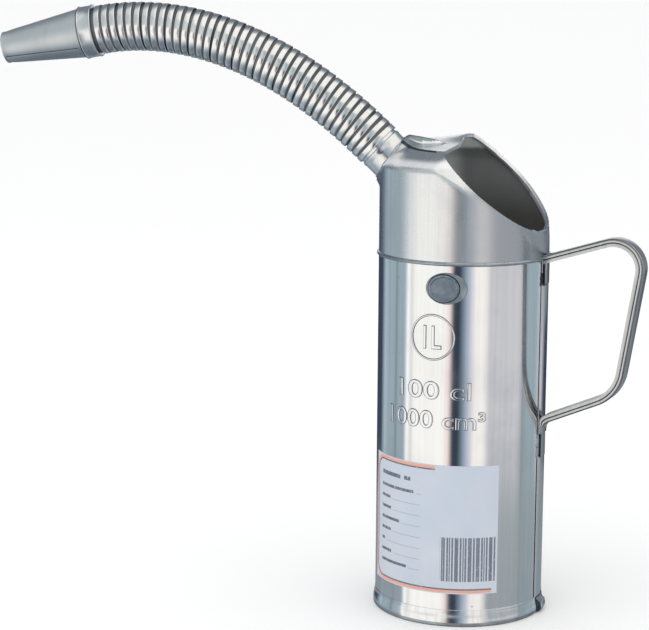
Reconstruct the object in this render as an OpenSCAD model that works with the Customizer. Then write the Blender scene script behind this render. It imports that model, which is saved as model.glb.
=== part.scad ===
// Tinplate oil measuring jug with a bendable metal spout.
// The jug stands on z = 0 with its axis on Z. The handle points to +X and the spout to -X.

/* [Body] */
// Outer diameter of the body
body_d = 86; // [70:1:120]
// Height of the seam between body and hood
body_h = 183; // [150:1:260]
// Thickness of the tinplate
sheet_t = 0.5; // [0.3:0.05:0.8]
// Width of the lap of the side seam
lap_w = 9.5; // [6:0.5:14]
// Height of the lap over the body wall
lap_t = 0.45; // [0.3:0.05:0.8]

/* [Base] */
// Height of the base skirt outside the body wall
skirt_h = 8.5; // [5:0.5:14]
// Thickness of the folded base skirt
skirt_t = 0.85; // [0.6:0.05:1.5]
// Width of the bump where the skirt runs over the side seam
bump_w = 12; // [8:0.5:16]
// Height of that bump over the skirt
bump_t = 1.2; // [0.5:0.1:2]

/* [Hood] */
// Height of the deck over the seam
deck_h = 56.7; // [52:0.1:62]
// Diameter of the flat deck
deck_d = 52; // [44:1:58]
// Drop of the roof from the deck to the wall
roof_h = 11.4; // [8:0.1:16]
// Radius of the bead along the body seam
bead_r = 1; // [0.6:0.1:1.5]
// Depth of the spigot inside the body
spigot_h = 6; // [3:0.5:10]

/* [Filling mouth] */
// Height of the lowest point of the mouth over the seam
mouth_h = 12.5; // [8:0.5:20]
// Slope of the mouth
mouth_slope = 43; // [40:1:46]
// Radius of the rim that the wall leans in to
rim_r = 38.9; // [36:0.1:42]
// Distance of the centre of the rim from the lowest point of the mouth, up the slope
rim_up = 40; // [38:0.1:42]
// Lean of the wall below the rim
rim_lean = 50; // [46:1:60]
// Width of the folded hem round the mouth
hem_w = 2; // [1:0.25:4]
// Thickness of the folded hem
hem_t = 1.2; // [0.8:0.1:2]

/* [Neck] */
// Turn of the neck and spout away from the plane of the handle
spout_turn = 14; // [0:1:25]
// Rise of the spout where it leaves the hood
spout_rise = 43.7; // [38:0.1:50]
// Distance of the centre of the neck joint from the line of the wall
neck_in = 5.3; // [4:0.1:7]
// Distance of the centre of the neck joint below the deck
neck_drop = 9.5; // [8:0.1:11]
// Tilt of the joint against the spout axis
joint_tilt = 9.5; // [0:0.5:15]
// Outer diameter of the smooth ferrule
ferrule_d = 23.7; // [22.4:0.1:25]
// Visible length of the ferrule
ferrule_l = 8.5; // [5:0.5:14]
// Depth of the ferrule inside the hood neck
ferrule_in = 6; // [3:0.5:9]
// Thickness of the hood neck round the ferrule
neck_t = 0.6; // [0.4:0.1:1.2]
// Height of the solder bead at the neck joint
solder_h = 1.3; // [0.5:0.1:2]

/* [Bendable spout] */
// Outer diameter over the ribs
rib_d = 25; // [24:0.1:27]
// Distance from rib to rib
rib_pitch = 4.15; // [3.5:0.05:5]
// Width of a rib
rib_w = 2.5; // [1.5:0.05:3]
// Outer diameter of the tube inside the ribs
tube_d = 21.8; // [20:0.1:22.4]
// Wall of the tube inside the ribs
tube_t = 0.5; // [0.3:0.05:0.8]
// Radial gap between a tube end and the socket it slides in
slide_gap = 0.5; // [0.4:0.05:0.6]
// Reach of a tube end past the hinge point
tube_reach = 1.85; // [1.5:0.05:2.2]
// Thickness of the web that closes a socket
web_t = 0.3; // [0.2:0.05:0.5]
// Angle that the first link bends through
first_angle = 2.2; // [1:0.1:5]
// Angle that the last link bends through
last_angle = 6.2; // [4:0.1:8]

/* [Nozzle] */
// Outer diameter of the collar
collar_d = 27; // [26:0.1:30]
// Length of the collar
collar_l = 9.4; // [6:0.1:14]
// Outer diameter of the wide end of the nozzle
nozzle_d = 25; // [23:0.1:25.5]
// Outer diameter of the tip
tip_d = 16; // [10:0.5:20]
// Length of the cone
nozzle_l = 41; // [25:1:60]

/* [Handle] */
// Width of the handle strip
grip_w = 9; // [7:0.5:12]
// Depth of the channel that the strip is folded into
grip_depth = 4; // [3:0.25:6]
// Thickness of the handle strip
grip_t = 0.8; // [0.5:0.05:1.2]
// Distance of the upper arm below the body seam, at the body
arm_drop = 0.6; // [0:0.1:3]
// Distance of the lower arm below the upper arm, at the body
arm_gap = 82; // [60:1:110]
// Rise of the upper arm
arm_rise = 17.6; // [10:0.1:25]
// Rise of the lower arm
foot_rise = 23.6; // [15:0.1:30]
// Reach of the upper corner from the body wall
reach_top = 52.5; // [45:0.5:65]
// Reach of the lower corner from the body wall
reach_low = 39.4; // [34:0.5:60]
// Radius of the upper corner
corner_top_r = 13; // [10:0.5:16]
// Radius of the lower corner
corner_low_r = 20; // [10:0.5:24]
// Radius of the bend from the upper tail to the upper arm
root_top_r = 4; // [3:0.5:5]
// Radius of the bend from the lower arm to the lower tail
root_low_r = 9; // [6:0.5:12]
// Length of the upper tail along the body
tail_top_l = 13; // [11:0.5:20]
// Length of the lower tail along the body
tail_low_l = 18; // [14:0.5:26]
// Margin of the solder round the tails
solder_w = 1.5; // [0.5:0.25:3]
// Thickness of the solder over the body wall
solder_t = 0.9; // [0.6:0.05:1.4]

/* [Marks] */
// Diameter of the raised capacity ring
ring_d = 23.3; // [16:0.1:30]
// Width of the raised line of the ring
ring_w = 1.1; // [0.6:0.1:2]
// Distance of the ring centre below the centre of the seal
ring_drop = 24.5; // [23:0.5:34]
// Height of the raised marks over the wall
mark_t = 0.4; // [0.2:0.05:0.8]
// Height of the figures in the ring
figure_h = 11; // [8:0.5:13]
// Width of the lines of the figures
figure_w = 1.4; // [0.8:0.1:1.6]
// Width of the solder seal
seal_w = 21; // [14:0.5:26]
// Height of the solder seal
seal_h = 15.6; // [10:0.2:20]
// Thickness of the solder seal
seal_t = 1.1; // [0.6:0.1:2]
// Distance of the seal centre below the body seam
seal_drop = 12; // [10:0.5:18]
// Angle of the seal from the front towards the handle
seal_angle = 9; // [-20:1:20]

/* [Label] */
// Width of the paper label round the wall
label_w = 75.5; // [50:0.5:90]
// Height of the paper label
label_h = 65.6; // [40:0.1:80]
// Height of the lower edge of the label over the floor
label_z = 16.9; // [12:0.1:30]
// Thickness of the label
label_t = 0.15; // [0.1:0.05:0.3]
// Angle of the label centre from the front towards the handle
label_angle = -3.7; // [-20:0.1:20]

/* [Hidden] */
links = 13;
ribs_per_link = 3;
$fn = 96;

// Fits between pieces
fit = 0.05;
skin_gap = 0.02;

// Body and base
body_r = body_d / 2;
skirt_r = body_r + fit + skirt_t;
lap_r = body_r + lap_t;
far = 3 * body_h;

// Hood: wall, roof and deck, cut by the plane of the mouth
deck_z = body_h + deck_h;
deck_r = deck_d / 2;
roof_rise = atan2(roof_h, body_r - deck_r);
rim_depth = 2 * body_d;

// Neck joint
neck_x = body_r - neck_in;
neck_z = deck_z - neck_drop;
ferrule_r = ferrule_d / 2;
neck_bore_r = ferrule_r + fit;
neck_r = neck_bore_r + neck_t;

// Links of the spout
rib_r = rib_d / 2;
tube_r = tube_d / 2;
tube_in_r = tube_r - tube_t;
socket_r = tube_r + slide_gap;
link_l = ribs_per_link * rib_pitch;
half_gap = (rib_pitch - rib_w) / 2;
socket_end = half_gap + rib_w - web_t;

function bend(i) = first_angle + (last_angle - first_angle) * i / (links - 1);
function bend_r(i) = link_l / (bend(i) * PI / 180);
function heading(i) = i == 0 ? 180 - spout_rise : heading(i - 1) + bend(i - 1);
function link_x(i) = i == 0
    ? -neck_x - ferrule_l * cos(spout_rise)
    : link_x(i - 1) + bend_r(i - 1) * (sin(heading(i)) - sin(heading(i - 1)));
function link_z(i) = i == 0
    ? neck_z + ferrule_l * sin(spout_rise)
    : link_z(i - 1) - bend_r(i - 1) * (cos(heading(i)) - cos(heading(i - 1)));

// Centre line of the handle in the X-Z plane, with a bend radius at each corner.
// The sheet itself lies on the outer side of this line, grip_depth / 2 away.
tail_r = lap_r + skin_gap;
arm_top_z = body_h - arm_drop;
arm_low_z = arm_top_z - arm_gap;
top_x = tail_r + grip_depth / 2;
low_x = tail_r - grip_depth / 2 + grip_t;
arm_top = [top_x, arm_top_z + (top_x - body_r) * tan(arm_rise)];
arm_low = [low_x, arm_low_z + (low_x - body_r) * tan(foot_rise)];
corner_top = [body_r + reach_top, arm_top_z + reach_top * tan(arm_rise)];
corner_low = [body_r + reach_low, arm_low_z + reach_low * tan(foot_rise)];
strap = [
    [top_x, arm_top[1] - tail_top_l],
    arm_top,
    corner_top,
    corner_low,
    arm_low,
    [low_x, arm_low[1] - tail_low_l]
];
strap_r = [0, root_top_r, corner_top_r, corner_low_r, root_low_r, 0];
corner_steps = 12;

function leg(i) = strap[i + 1] - strap[i];
function leg_dir(i) = atan2(leg(i)[1], leg(i)[0]);
function wrap(a) = a > 180 ? a - 360 : a < -180 ? a + 360 : a;
function corner_turn(i) = wrap(leg_dir(i) - leg_dir(i - 1));
function cut_back(i) = strap_r[i] == 0 ? 0 : strap_r[i] * tan(abs(corner_turn(i)) / 2);
function along(i) = [cos(leg_dir(i)), sin(leg_dir(i))];
function across(i) = [-sin(leg_dir(i)), cos(leg_dir(i))];
function corner_side(i) = sign(corner_turn(i));
function corner_centre(i) = strap[i] - cut_back(i) * along(i - 1) + corner_side(i) * strap_r[i] * across(i - 1);

// Line beside the centre line of the strip, the given distance to its outer side
function side_line(away, first, last) = concat(
    [strap[first] + cut_back(first) * along(first) + away * across(first)],
    [for (i = [first + 1 : last], k = [0 : corner_steps])
        let (a = leg_dir(i - 1) - corner_side(i) * 90 + corner_turn(i) * k / corner_steps)
        corner_centre(i) + (strap_r[i] - corner_side(i) * away) * [cos(a), sin(a)]],
    [strap[last + 1] - cut_back(last + 1) * along(last) + away * across(last)]
);
function reversed(points) = [for (i = [len(points) - 1 : -1 : 0]) points[i]];

// Marks
front = -90;
ring_dir = front;
seal_z = body_h - seal_drop;
ring_z = seal_z - ring_drop;

module ring_2d(outer, inner) {
    difference() {
        circle(r = outer);
        circle(r = inner);
    }
}

module pipe(outer, inner, low, high) {
    translate([0, 0, low])
        linear_extrude(height = high - low)
            ring_2d(outer, inner);
}

// Turns a piece drawn along +X to the given direction round the jug
module facing(angle) {
    rotate([0, 0, angle]) children();
}

// Skin of the body wall between two radii that lies behind a flat shape facing +X
module wall_skin(inner, outer, z) {
    intersection() {
        pipe(outer, inner, 0, far);
        translate([0, 0, z])
            rotate([90, 0, 90])
                linear_extrude(height = 2 * body_r)
                    children();
    }
}

// Body

module capacity_mark() {
    facing(ring_dir)
        wall_skin(body_r - sheet_t / 2, body_r + mark_t, ring_z) {
            ring_2d(ring_d / 2, ring_d / 2 - ring_w);
            translate([-figure_w * 2.4, -figure_h / 2]) square([figure_w, figure_h]);
            translate([-figure_w * 3.6, figure_h / 2 - figure_w * 1.6]) square([figure_w * 1.6, figure_w]);
            translate([figure_w * 0.6, -figure_h / 2]) square([figure_w, figure_h]);
            translate([figure_w * 0.6, -figure_h / 2]) square([figure_h * 0.42, figure_w]);
        }
}

module body_shell() {
    color("gainsboro") {
        pipe(body_r, body_r - sheet_t, sheet_t, body_h - bead_r);
        wall_skin(body_r - sheet_t / 2, lap_r, 0)
            translate([-lap_w / 2, skirt_h + fit])
                square([lap_w, body_h - bead_r - fit - skirt_h - fit]);
        capacity_mark();
    }
}

module base_pan() {
    color("silver") {
        rotate_extrude() {
            square([skirt_r, sheet_t]);
            translate([body_r + fit, 0]) square([skirt_t, skirt_h]);
        }
        wall_skin(body_r + fit + skirt_t / 2, skirt_r + bump_t, 0)
            translate([-bump_w / 2, 0])
                square([bump_w, skirt_h]);
    }
}

// Hood

module at_mouth() {
    translate([body_r, 0, body_h + mouth_h])
        rotate([0, mouth_slope, 0])
            children();
}

// Cone that rises to the deck from the top of the wall
module roof_cone(inset) {
    reach = deck_h / tan(roof_rise);
    translate([0, 0, body_h])
        cylinder(r1 = deck_r + reach - inset / sin(roof_rise), r2 = deck_r - inset / sin(roof_rise), h = deck_h);
}

// Cone that the wall leans in along, below the rim of the mouth
module rim_cone(inset) {
    top = rim_r - inset / cos(rim_lean);
    at_mouth()
        translate([-rim_up, 0, -rim_depth])
            cylinder(r1 = top + rim_depth * tan(rim_lean), r2 = top - bead_r * tan(rim_lean), h = rim_depth + bead_r);
}

// Solid hood, with its surfaces set in by the given distance
module hood_solid(inset) {
    difference() {
        intersection() {
            translate([0, 0, body_h]) cylinder(r = body_r - inset, h = deck_h - inset);
            roof_cone(inset);
            rim_cone(inset);
        }
        at_neck() past_joint(-inset);
    }
}

// Everything above the plane of the mouth, sunk by the given depth
module above_mouth(sink) {
    at_mouth()
        translate([-far / 2, -far / 2, -sink])
            cube([far, far, far / 2]);
}

module at_neck() {
    rotate([0, 0, spout_turn])
        translate([-neck_x, 0, neck_z])
            rotate([0, spout_rise - 90, 0])
                children();
}

// Everything past the tilted plane of the neck joint, moved out by the given distance
module past_joint(shift) {
    rotate([0, -joint_tilt, 0])
        translate([-body_d, -body_d, shift])
            cube([2 * body_d, 2 * body_d, body_d]);
}

module hood() {
    color("lightgray") {
        difference() {
            union() {
                difference() {
                    hood_solid(0);
                    hood_solid(sheet_t);
                    translate([0, 0, body_h - sheet_t]) cylinder(r = body_r - sheet_t, h = 2 * sheet_t);
                }
                difference() {
                    at_neck()
                        difference() {
                            translate([0, 0, -body_r / 2]) cylinder(r = neck_r, h = body_r / 2 + ferrule_l);
                            past_joint(0);
                        }
                    hood_solid(sheet_t / 2);
                }
                intersection() {
                    difference() {
                        hood_solid(sheet_t / 2);
                        hood_solid(hem_t);
                    }
                    above_mouth(hem_w);
                }
            }
            at_neck() translate([0, 0, -body_r / 2]) cylinder(r = neck_bore_r, h = body_r);
            above_mouth(0);
        }
        rotate_extrude()
            intersection() {
                translate([body_r, body_h]) circle(r = bead_r);
                translate([body_r - sheet_t / 2, 0]) square([body_r, far]);
            }
        pipe(body_r - sheet_t - fit, body_r - 2 * sheet_t - fit, body_h - bead_r - spigot_h, body_h + sheet_t);
        pipe(body_r - sheet_t / 4, body_r - 1.5 * sheet_t - fit, body_h, body_h + sheet_t);
    }
}

// Neck

module neck_ferrule() {
    color("silver")
        at_neck()
            rotate_extrude() {
                end = ferrule_l - half_gap;
                translate([ferrule_r - sheet_t, -ferrule_in]) square([sheet_t, ferrule_in + end]);
                translate([tube_in_r, end - sheet_t]) square([ferrule_r - tube_in_r, sheet_t]);
                translate([tube_in_r, end - sheet_t]) square([tube_t, sheet_t + half_gap + tube_reach]);
            }
}

module neck_solder() {
    color("darkgray")
        at_neck()
            difference() {
                rotate([0, -joint_tilt, 0])
                    translate([0, 0, skin_gap])
                        cylinder(r1 = neck_r + neck_t, r2 = ferrule_r, h = solder_h);
                translate([0, 0, -body_r / 2]) cylinder(r = ferrule_r + skin_gap, h = body_r);
            }
}

// Bendable spout

module at_link(i) {
    rotate([0, 0, spout_turn])
        translate([link_x(i), 0, link_z(i)])
            rotate([0, 90 - heading(i), 0])
                children();
}

// Stretch of tube between two places along the curved centre line of a link
module bent_pipe(radius, outer, inner, from, to) {
    start = from / radius * 180 / PI;
    sweep = (to - from) / radius * 180 / PI;
    translate([-radius, 0, 0])
        rotate([90, 0, 0])
            rotate([0, 0, start])
                rotate_extrude(angle = sweep, $fn = 360)
                    translate([radius, 0])
                        ring_2d(outer, inner);
}

module spout_link(i) {
    r = bend_r(i);
    color("lightgray")
        at_link(i) {
            difference() {
                bent_pipe(r, rib_r, tube_r - tube_t / 2, half_gap, half_gap + rib_w);
                bent_pipe(r, socket_r, 0, -half_gap, socket_end);
            }
            bent_pipe(r, tube_r, tube_in_r, socket_end + web_t / 3, link_l + tube_reach);
            for (k = [1 : ribs_per_link - 1])
                bent_pipe(r, rib_r, tube_r - tube_t / 2, k * rib_pitch + half_gap, k * rib_pitch + half_gap + rib_w);
        }
}

// Nozzle

module nozzle_collar() {
    color("silver")
        at_link(links)
            rotate_extrude() {
                inner = nozzle_d / 2 + fit;
                translate([inner, half_gap]) square([collar_d / 2 - inner, collar_l]);
                translate([socket_r, half_gap]) square([collar_d / 2 - socket_r, sheet_t]);
            }
}

module nozzle_cone() {
    wide = nozzle_d / 2;
    tip = tip_d / 2;
    root = half_gap + 2 * sheet_t + tube_reach / 2;
    base = half_gap + collar_l;
    color("lightsteelblue")
        at_link(links)
            rotate_extrude()
                polygon([
                    [wide - sheet_t, root],
                    [wide, root],
                    [wide, base],
                    [tip, base + nozzle_l],
                    [tip - sheet_t, base + nozzle_l],
                    [wide - sheet_t, base]
                ]);
}

// Handle

// Band beside the centre line, between two distances to its outer side
module strap_band(near, away, first, last) {
    polygon(concat(side_line(near, first, last), reversed(side_line(away, first, last))));
}

module plate(width) {
    rotate([90, 0, 0])
        linear_extrude(height = width, center = true)
            children();
}

module handle_strip() {
    half = grip_depth / 2;
    color("silver")
        difference() {
            union() {
                plate(grip_w) strap_band(half - grip_t, half, 0, 4);
                for (side = [-1, 1])
                    translate([0, side * (grip_w - grip_t) / 2, 0])
                        plate(grip_t) strap_band(-half, half - grip_t / 2, 1, 3);
            }
            cylinder(r = lap_r + skin_gap / 2, h = far);
            translate([0, 0, body_h - bead_r - fit])
                cylinder(r = body_r + bead_r + fit, h = far);
        }
}

// Solder round a tail: a skin on the wall with room for the lap and the tail
module tail_solder(low, high) {
    color("darkgray")
        difference() {
            wall_skin(body_r + skin_gap, body_r + skin_gap + solder_t, 0)
                translate([-grip_w / 2 - solder_w, low - solder_w])
                    square([grip_w + 2 * solder_w, high - low + solder_w]);
            wall_skin(0, lap_r + skin_gap, 0)
                translate([-lap_w / 2 - skin_gap, 0])
                    square([lap_w + 2 * skin_gap, body_h]);
            wall_skin(0, 2 * body_r, 0)
                translate([-grip_w / 2 - skin_gap, low - skin_gap])
                    square([grip_w + 2 * skin_gap, far]);
        }
}

module handle_top_solder() {
    tail_solder(strap[0][1], arm_top[1] - strap_r[1] - grip_depth);
}

module handle_low_solder() {
    tail_solder(strap[5][1], arm_low[1] - strap_r[4] + grip_depth / 2);
}

// Marks on the body

module solder_seal() {
    end = (seal_w - seal_h) / 2;
    color("slategray")
        facing(front + seal_angle)
            wall_skin(body_r + skin_gap, body_r + seal_t, seal_z) {
                for (side = [-1, 1]) translate([side * end, 0]) circle(r = seal_h / 2);
                translate([-end, -seal_h / 2]) square([2 * end, seal_h]);
            }
}

module paper_label() {
    sweep = label_w / body_r * 180 / PI;
    color("white")
        facing(front + label_angle - sweep / 2)
            translate([0, 0, label_z])
                rotate_extrude(angle = sweep)
                    translate([body_r + skin_gap, 0])
                        square([label_t, label_h]);
}

body_shell();
base_pan();
hood();
neck_ferrule();
neck_solder();
spout_link(0);  // spout_link_01
spout_link(1);  // spout_link_02
spout_link(2);  // spout_link_03
spout_link(3);  // spout_link_04
spout_link(4);  // spout_link_05
spout_link(5);  // spout_link_06
spout_link(6);  // spout_link_07
spout_link(7);  // spout_link_08
spout_link(8);  // spout_link_09
spout_link(9);  // spout_link_10
spout_link(10);  // spout_link_11
spout_link(11);  // spout_link_12
spout_link(12);  // spout_link_13
nozzle_collar();
nozzle_cone();
handle_strip();
handle_top_solder();
handle_low_solder();
solder_seal();
paper_label();
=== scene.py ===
"""Dresses the tinplate oil measuring jug: its sheet metal, wound spout, solder, marks, label and stage."""

import math

import bmesh
import bpy
from bpy.props import FloatProperty, FloatVectorProperty, PointerProperty
from mathutils import Matrix, Vector


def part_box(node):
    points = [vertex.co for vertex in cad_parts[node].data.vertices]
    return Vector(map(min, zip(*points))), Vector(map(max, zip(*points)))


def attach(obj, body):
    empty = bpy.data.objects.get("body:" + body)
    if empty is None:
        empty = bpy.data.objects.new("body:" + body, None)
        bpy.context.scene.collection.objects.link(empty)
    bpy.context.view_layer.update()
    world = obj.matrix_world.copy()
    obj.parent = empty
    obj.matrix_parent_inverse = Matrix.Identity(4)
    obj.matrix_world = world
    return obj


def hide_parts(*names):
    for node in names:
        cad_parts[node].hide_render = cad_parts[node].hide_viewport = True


bl_info = {
    "name": "Oil measuring jug",
    "version": (1, 0, 0),
    "blender": (4, 5, 0),
    "location": "View3D > Sidebar > Jug",
    "description": "Builds the finished looks of a tinplate oil measuring jug",
    "category": "Object",
}

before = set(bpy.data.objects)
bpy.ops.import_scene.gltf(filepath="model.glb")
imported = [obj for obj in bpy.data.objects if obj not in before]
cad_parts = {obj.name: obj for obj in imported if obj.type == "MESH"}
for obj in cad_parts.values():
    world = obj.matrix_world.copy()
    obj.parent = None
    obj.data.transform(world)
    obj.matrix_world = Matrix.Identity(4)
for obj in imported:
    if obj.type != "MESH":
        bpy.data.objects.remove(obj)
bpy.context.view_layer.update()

MM = 0.001
PHOTO_W = 649
SENSOR_W = 36.0
LINKS = 13
RIBS_PER_LINK = 3
RIBS = LINKS * RIBS_PER_LINK


# Sizes and colours

def length(name, description, default):
    """A size in metres."""
    return FloatProperty(name=name, description=description, default=default, unit="LENGTH", precision=5)


def turn(name, description, degrees):
    """An angle, given in degrees."""
    return FloatProperty(name=name, description=description, default=math.radians(degrees), subtype="ANGLE")


def number(name, description, default):
    """A plain number."""
    return FloatProperty(name=name, description=description, default=default)


def colour(name, description, default):
    """A linear colour."""
    return FloatVectorProperty(
        name=name, description=description, default=default, subtype="COLOR", size=3, min=0.0, max=1.0)


class JugSizes(bpy.types.PropertyGroup):
    """Sizes of the jug, with Z up and the handle towards +X."""

    body_r: length("Body radius", "Outer radius of the wall", -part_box("body_shell")[0].x)
    body_h: length("Body height", "Height of the seam between body and hood", 183 * MM)
    sheet_t: length("Sheet", "Thickness of the tinplate", 0.5 * MM)
    lap_w: length("Lap width", "Width of the lap of the side seam", 9.5 * MM)
    lap_t: length("Lap height", "Height of the lap over the wall", 0.45 * MM)
    skirt_h: length("Base skirt", "Height of the skirt of the base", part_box("base_pan")[1].z)
    skirt_t: length("Skirt thickness", "Thickness of the folded skirt", 0.85 * MM)
    bump_w: length("Bump width", "Width of the bump over the side seam", 12 * MM)
    bump_t: length("Bump height", "Height of the bump over the skirt", 1.9 * MM)
    bump_y: length("Bump place", "Distance of the bump from the plane of the handle", 3 * MM)
    deck_h: length("Deck height", "Height of the deck over the seam", 56.7 * MM)
    deck_r: length("Deck radius", "Radius of the flat deck", 28.5 * MM)
    roof_h: length("Roof drop", "Drop of the roof from the deck to the wall", 11.4 * MM)
    deck_dip: length("Deck dip", "Dip of the deck from its back to its front", 3.4 * MM)
    lip_h: length("Lip height", "Height of the raised lip of the deck beside the mouth", 2.3 * MM)
    ridge_h: length("Ridge height", "Height of the pinched ridge over the deck", 5.6 * MM)
    ridge_l: length("Ridge length", "Length of the ridge from the neck over the deck", 27 * MM)
    crease_r: length("Crease radius", "Radius of the bend from wall to roof", 4.5 * MM)
    roof_swell: length("Roof swell", "Outward swell of the roof between its bends", 1.2 * MM)
    brim_r: length("Brim radius", "Radius of the bend from roof to deck", 1.6 * MM)
    bead_r: length("Bead radius", "Radius of the bead along the seam", 1.0 * MM)
    mouth_h: length("Mouth height", "Height of the lowest point of the mouth over the seam", 12.5 * MM)
    mouth_slope: turn("Mouth slope", "Slope of the filling mouth", 43)
    rim_r: length("Rim radius", "Radius of the rim that the wall leans in to", 38.4 * MM)
    rim_up: length("Rim centre", "Distance of the rim's centre from the lowest point, up the slope", 40 * MM)
    rim_lean: turn("Rim lean", "Lean of the wall below the rim", 50)
    hem_w: length("Hem width", "Width of the folded hem", 2 * MM)
    hem_t: length("Hem thickness", "Thickness of the folded hem", 1.8 * MM)
    spout_turn: turn("Spout turn", "Turn of the spout away from the plane of the handle", 14)
    spout_rise: turn("Spout rise", "Rise of the spout where it leaves the hood", 43.7)
    neck_in: length("Neck place", "Distance of the neck's centre from the line of the wall", 5.3 * MM)
    neck_drop: length("Neck drop", "Distance of the neck's centre below the deck", 9.5 * MM)
    joint_tilt: turn("Joint tilt", "Tilt of the neck joint against the spout", 9.5)
    ferrule_r: length("Ferrule radius", "Outer radius of the ferrule", 11.85 * MM)
    ferrule_l: length("Ferrule length", "Visible length of the ferrule", 8.5 * MM)
    rib_r: length("Rib radius", "Outer radius over the ribs", 12.47 * MM)
    rib_pitch: length("Rib pitch", "Distance from rib to rib", 4.15 * MM)
    rib_w: length("Rib seat", "Width of a rib at its seat", 2.5 * MM)
    crown_w: length("Rib crown", "Width of a rib over its crown", 2.95 * MM)
    rib_tilt: turn("Rib tilt", "Tilt of the ribs, as the winding climbs", 4.75)
    tube_r: length("Tube radius", "Outer radius of the tube inside the ribs", 11.35 * MM)
    tube_reach: length("Tube reach", "Reach of a tube end past the hinge", 1.85 * MM)
    first_angle: turn("First bend", "Angle that the first link bends through", 2.2)
    last_angle: turn("Last bend", "Angle that the last link bends through", 6.2)
    collar_r: length("Collar radius", "Outer radius of the nozzle collar", 13.5 * MM)
    collar_l: length("Collar length", "Length of the nozzle collar", 9.4 * MM)
    nozzle_r: length("Nozzle radius", "Outer radius of the wide end of the nozzle", 12.5 * MM)
    tip_r: length("Tip radius", "Outer radius of the tip", 8 * MM)
    nozzle_l: length("Nozzle length", "Length of the cone", 41 * MM)
    grip_w: length("Handle width", "Width of the handle strip", 9 * MM)
    grip_depth: length("Handle depth", "Depth of the channel", 4 * MM)
    grip_t: length("Handle thickness", "Thickness of the strip", 0.8 * MM)
    fold_r: length("Fold radius", "Outer radius of the folded edges of the channel", 1.1 * MM)
    arm_drop: length("Upper arm", "Distance of the upper arm below the seam, at the body", 0.6 * MM)
    arm_gap: length("Arm gap", "Distance between the arms, at the body", 82 * MM)
    arm_rise: turn("Upper rise", "Rise of the upper arm", 17.6)
    foot_rise: turn("Lower rise", "Rise of the lower arm", 23.6)
    reach_top: length("Upper reach", "Reach of the upper corner from the wall", 52.5 * MM)
    reach_low: length("Lower reach", "Reach of the lower corner from the wall", 39.4 * MM)
    corner_top_r: length("Upper corner", "Radius of the upper corner", 13 * MM)
    corner_low_r: length("Lower corner", "Radius of the lower corner", 20 * MM)
    root_top_r: length("Upper root", "Radius of the bend into the upper tail", 3.2 * MM)
    root_low_r: length("Lower root", "Radius of the bend into the lower tail", 9 * MM)
    tail_top_l: length("Upper tail", "Length of the upper tail", 13 * MM)
    tail_low_l: length("Lower tail", "Length of the lower tail", 18 * MM)
    mark_t: length("Mark height", "Height of the raised marks over the wall", 0.5 * MM)
    ring_r: length("Ring radius", "Outer radius of the capacity ring", 11.65 * MM)
    ring_w: length("Ring line", "Width of the raised line of the ring", 1.1 * MM)
    ring_z: length("Ring place", "Height of the centre of the ring", 146.5 * MM)
    seal_w: length("Seal width", "Width of the solder seal", 21 * MM)
    seal_h: length("Seal height", "Height of the solder seal", 15.6 * MM)
    stamp_w: length("Stamp width", "Width of the stamped disc on the seal", 16.5 * MM)
    stamp_h: length("Stamp height", "Height of the stamped disc on the seal", 14.5 * MM)
    seal_z: length("Seal place", "Height of the centre of the seal", 171 * MM)
    seal_angle: turn("Seal angle", "Angle of the seal from the front towards the handle", 9)
    label_w: length("Label width", "Width of the label round the wall", 75.5 * MM)
    label_h: length("Label height", "Height of the label", 65.6 * MM)
    label_z: length("Label place", "Height of the lower edge of the label", 16.9 * MM)
    label_t: length("Label thickness", "Thickness of the label", 0.15 * MM)
    label_angle: turn("Label angle", "Angle of the label's centre from the front", -3.7)


class JugColours(bpy.types.PropertyGroup):
    """Colours of the finishes."""

    tin: colour("Tinplate", "Bright tinned sheet", (0.90, 0.91, 0.92))
    tin_dull: colour("Dull tinplate", "Tinned sheet where it has dulled", (0.66, 0.70, 0.73))
    # The inside colour stands for the oil film and for the shade inside the jug: painted shade
    inside: colour("Inside", "Oiled inside of the jug", (0.24, 0.255, 0.25))
    strip: colour("Wound strip", "Plated strip of the spout", (0.93, 0.93, 0.93))
    # The groove colour is painted shade in the spout's grooves
    groove: colour("Groove", "Grime in the grooves of the spout", (0.28, 0.29, 0.30))
    nozzle: colour("Nozzle", "Dull sheet of the nozzle", (0.73, 0.77, 0.79))
    handle: colour("Handle", "Worn sheet of the handle", (0.62, 0.63, 0.64))
    solder: colour("Solder", "Wiped soft solder", (0.66, 0.68, 0.70))
    seal: colour("Seal", "Dull solder of the seal", (0.40, 0.44, 0.48))
    stamp: colour("Stamp", "Dark middle of the seal", (0.20, 0.25, 0.31))
    hem: colour("Hem", "Dull inner side of the hem", (0.48, 0.49, 0.56))
    paper: colour("Label paper", "Coated paper of the label", (0.52, 0.58, 0.67))
    border: colour("Label border", "Outer line of the label's border", (0.80, 0.34, 0.22))
    ink: colour("Label ink", "Dark print on the label", (0.05, 0.06, 0.09))
    floor: colour("Floor", "Pale studio floor", (0.96, 0.96, 0.96))


class JugView(bpy.types.PropertyGroup):
    """Camera of the main view."""

    distance: length("Distance", "Distance of the camera from the jug's axis", 1022.8 * MM)
    height: length("Height", "Height of the camera", 329.2 * MM)
    around: turn("Around", "Turn of the camera from the front towards the handle", 20)
    yaw: turn("Yaw", "Turn of the camera to the left", 3.94)
    pitch: turn("Pitch", "Tilt of the camera downwards", 9.94)
    roll: turn("Roll", "Roll of the camera", 0.36)
    focal_px: number("Focal length", "Focal length in pixels of the frame", 2038.0)


# Modelling helpers

def deselect_all():
    bpy.ops.object.select_all(action="DESELECT")


def pick(piece):
    """Makes the piece the active one, and the only selected one."""
    deselect_all()
    piece.select_set(True)
    bpy.context.view_layer.objects.active = piece


def begin_edit(piece):
    pick(piece)
    bpy.ops.object.mode_set(mode="EDIT")


def end_edit():
    bpy.ops.object.mode_set(mode="OBJECT")


def named(name):
    """The primitive that was just added, under its own name."""
    piece = bpy.context.object
    piece.name = name
    piece.data.name = name
    return piece


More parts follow.
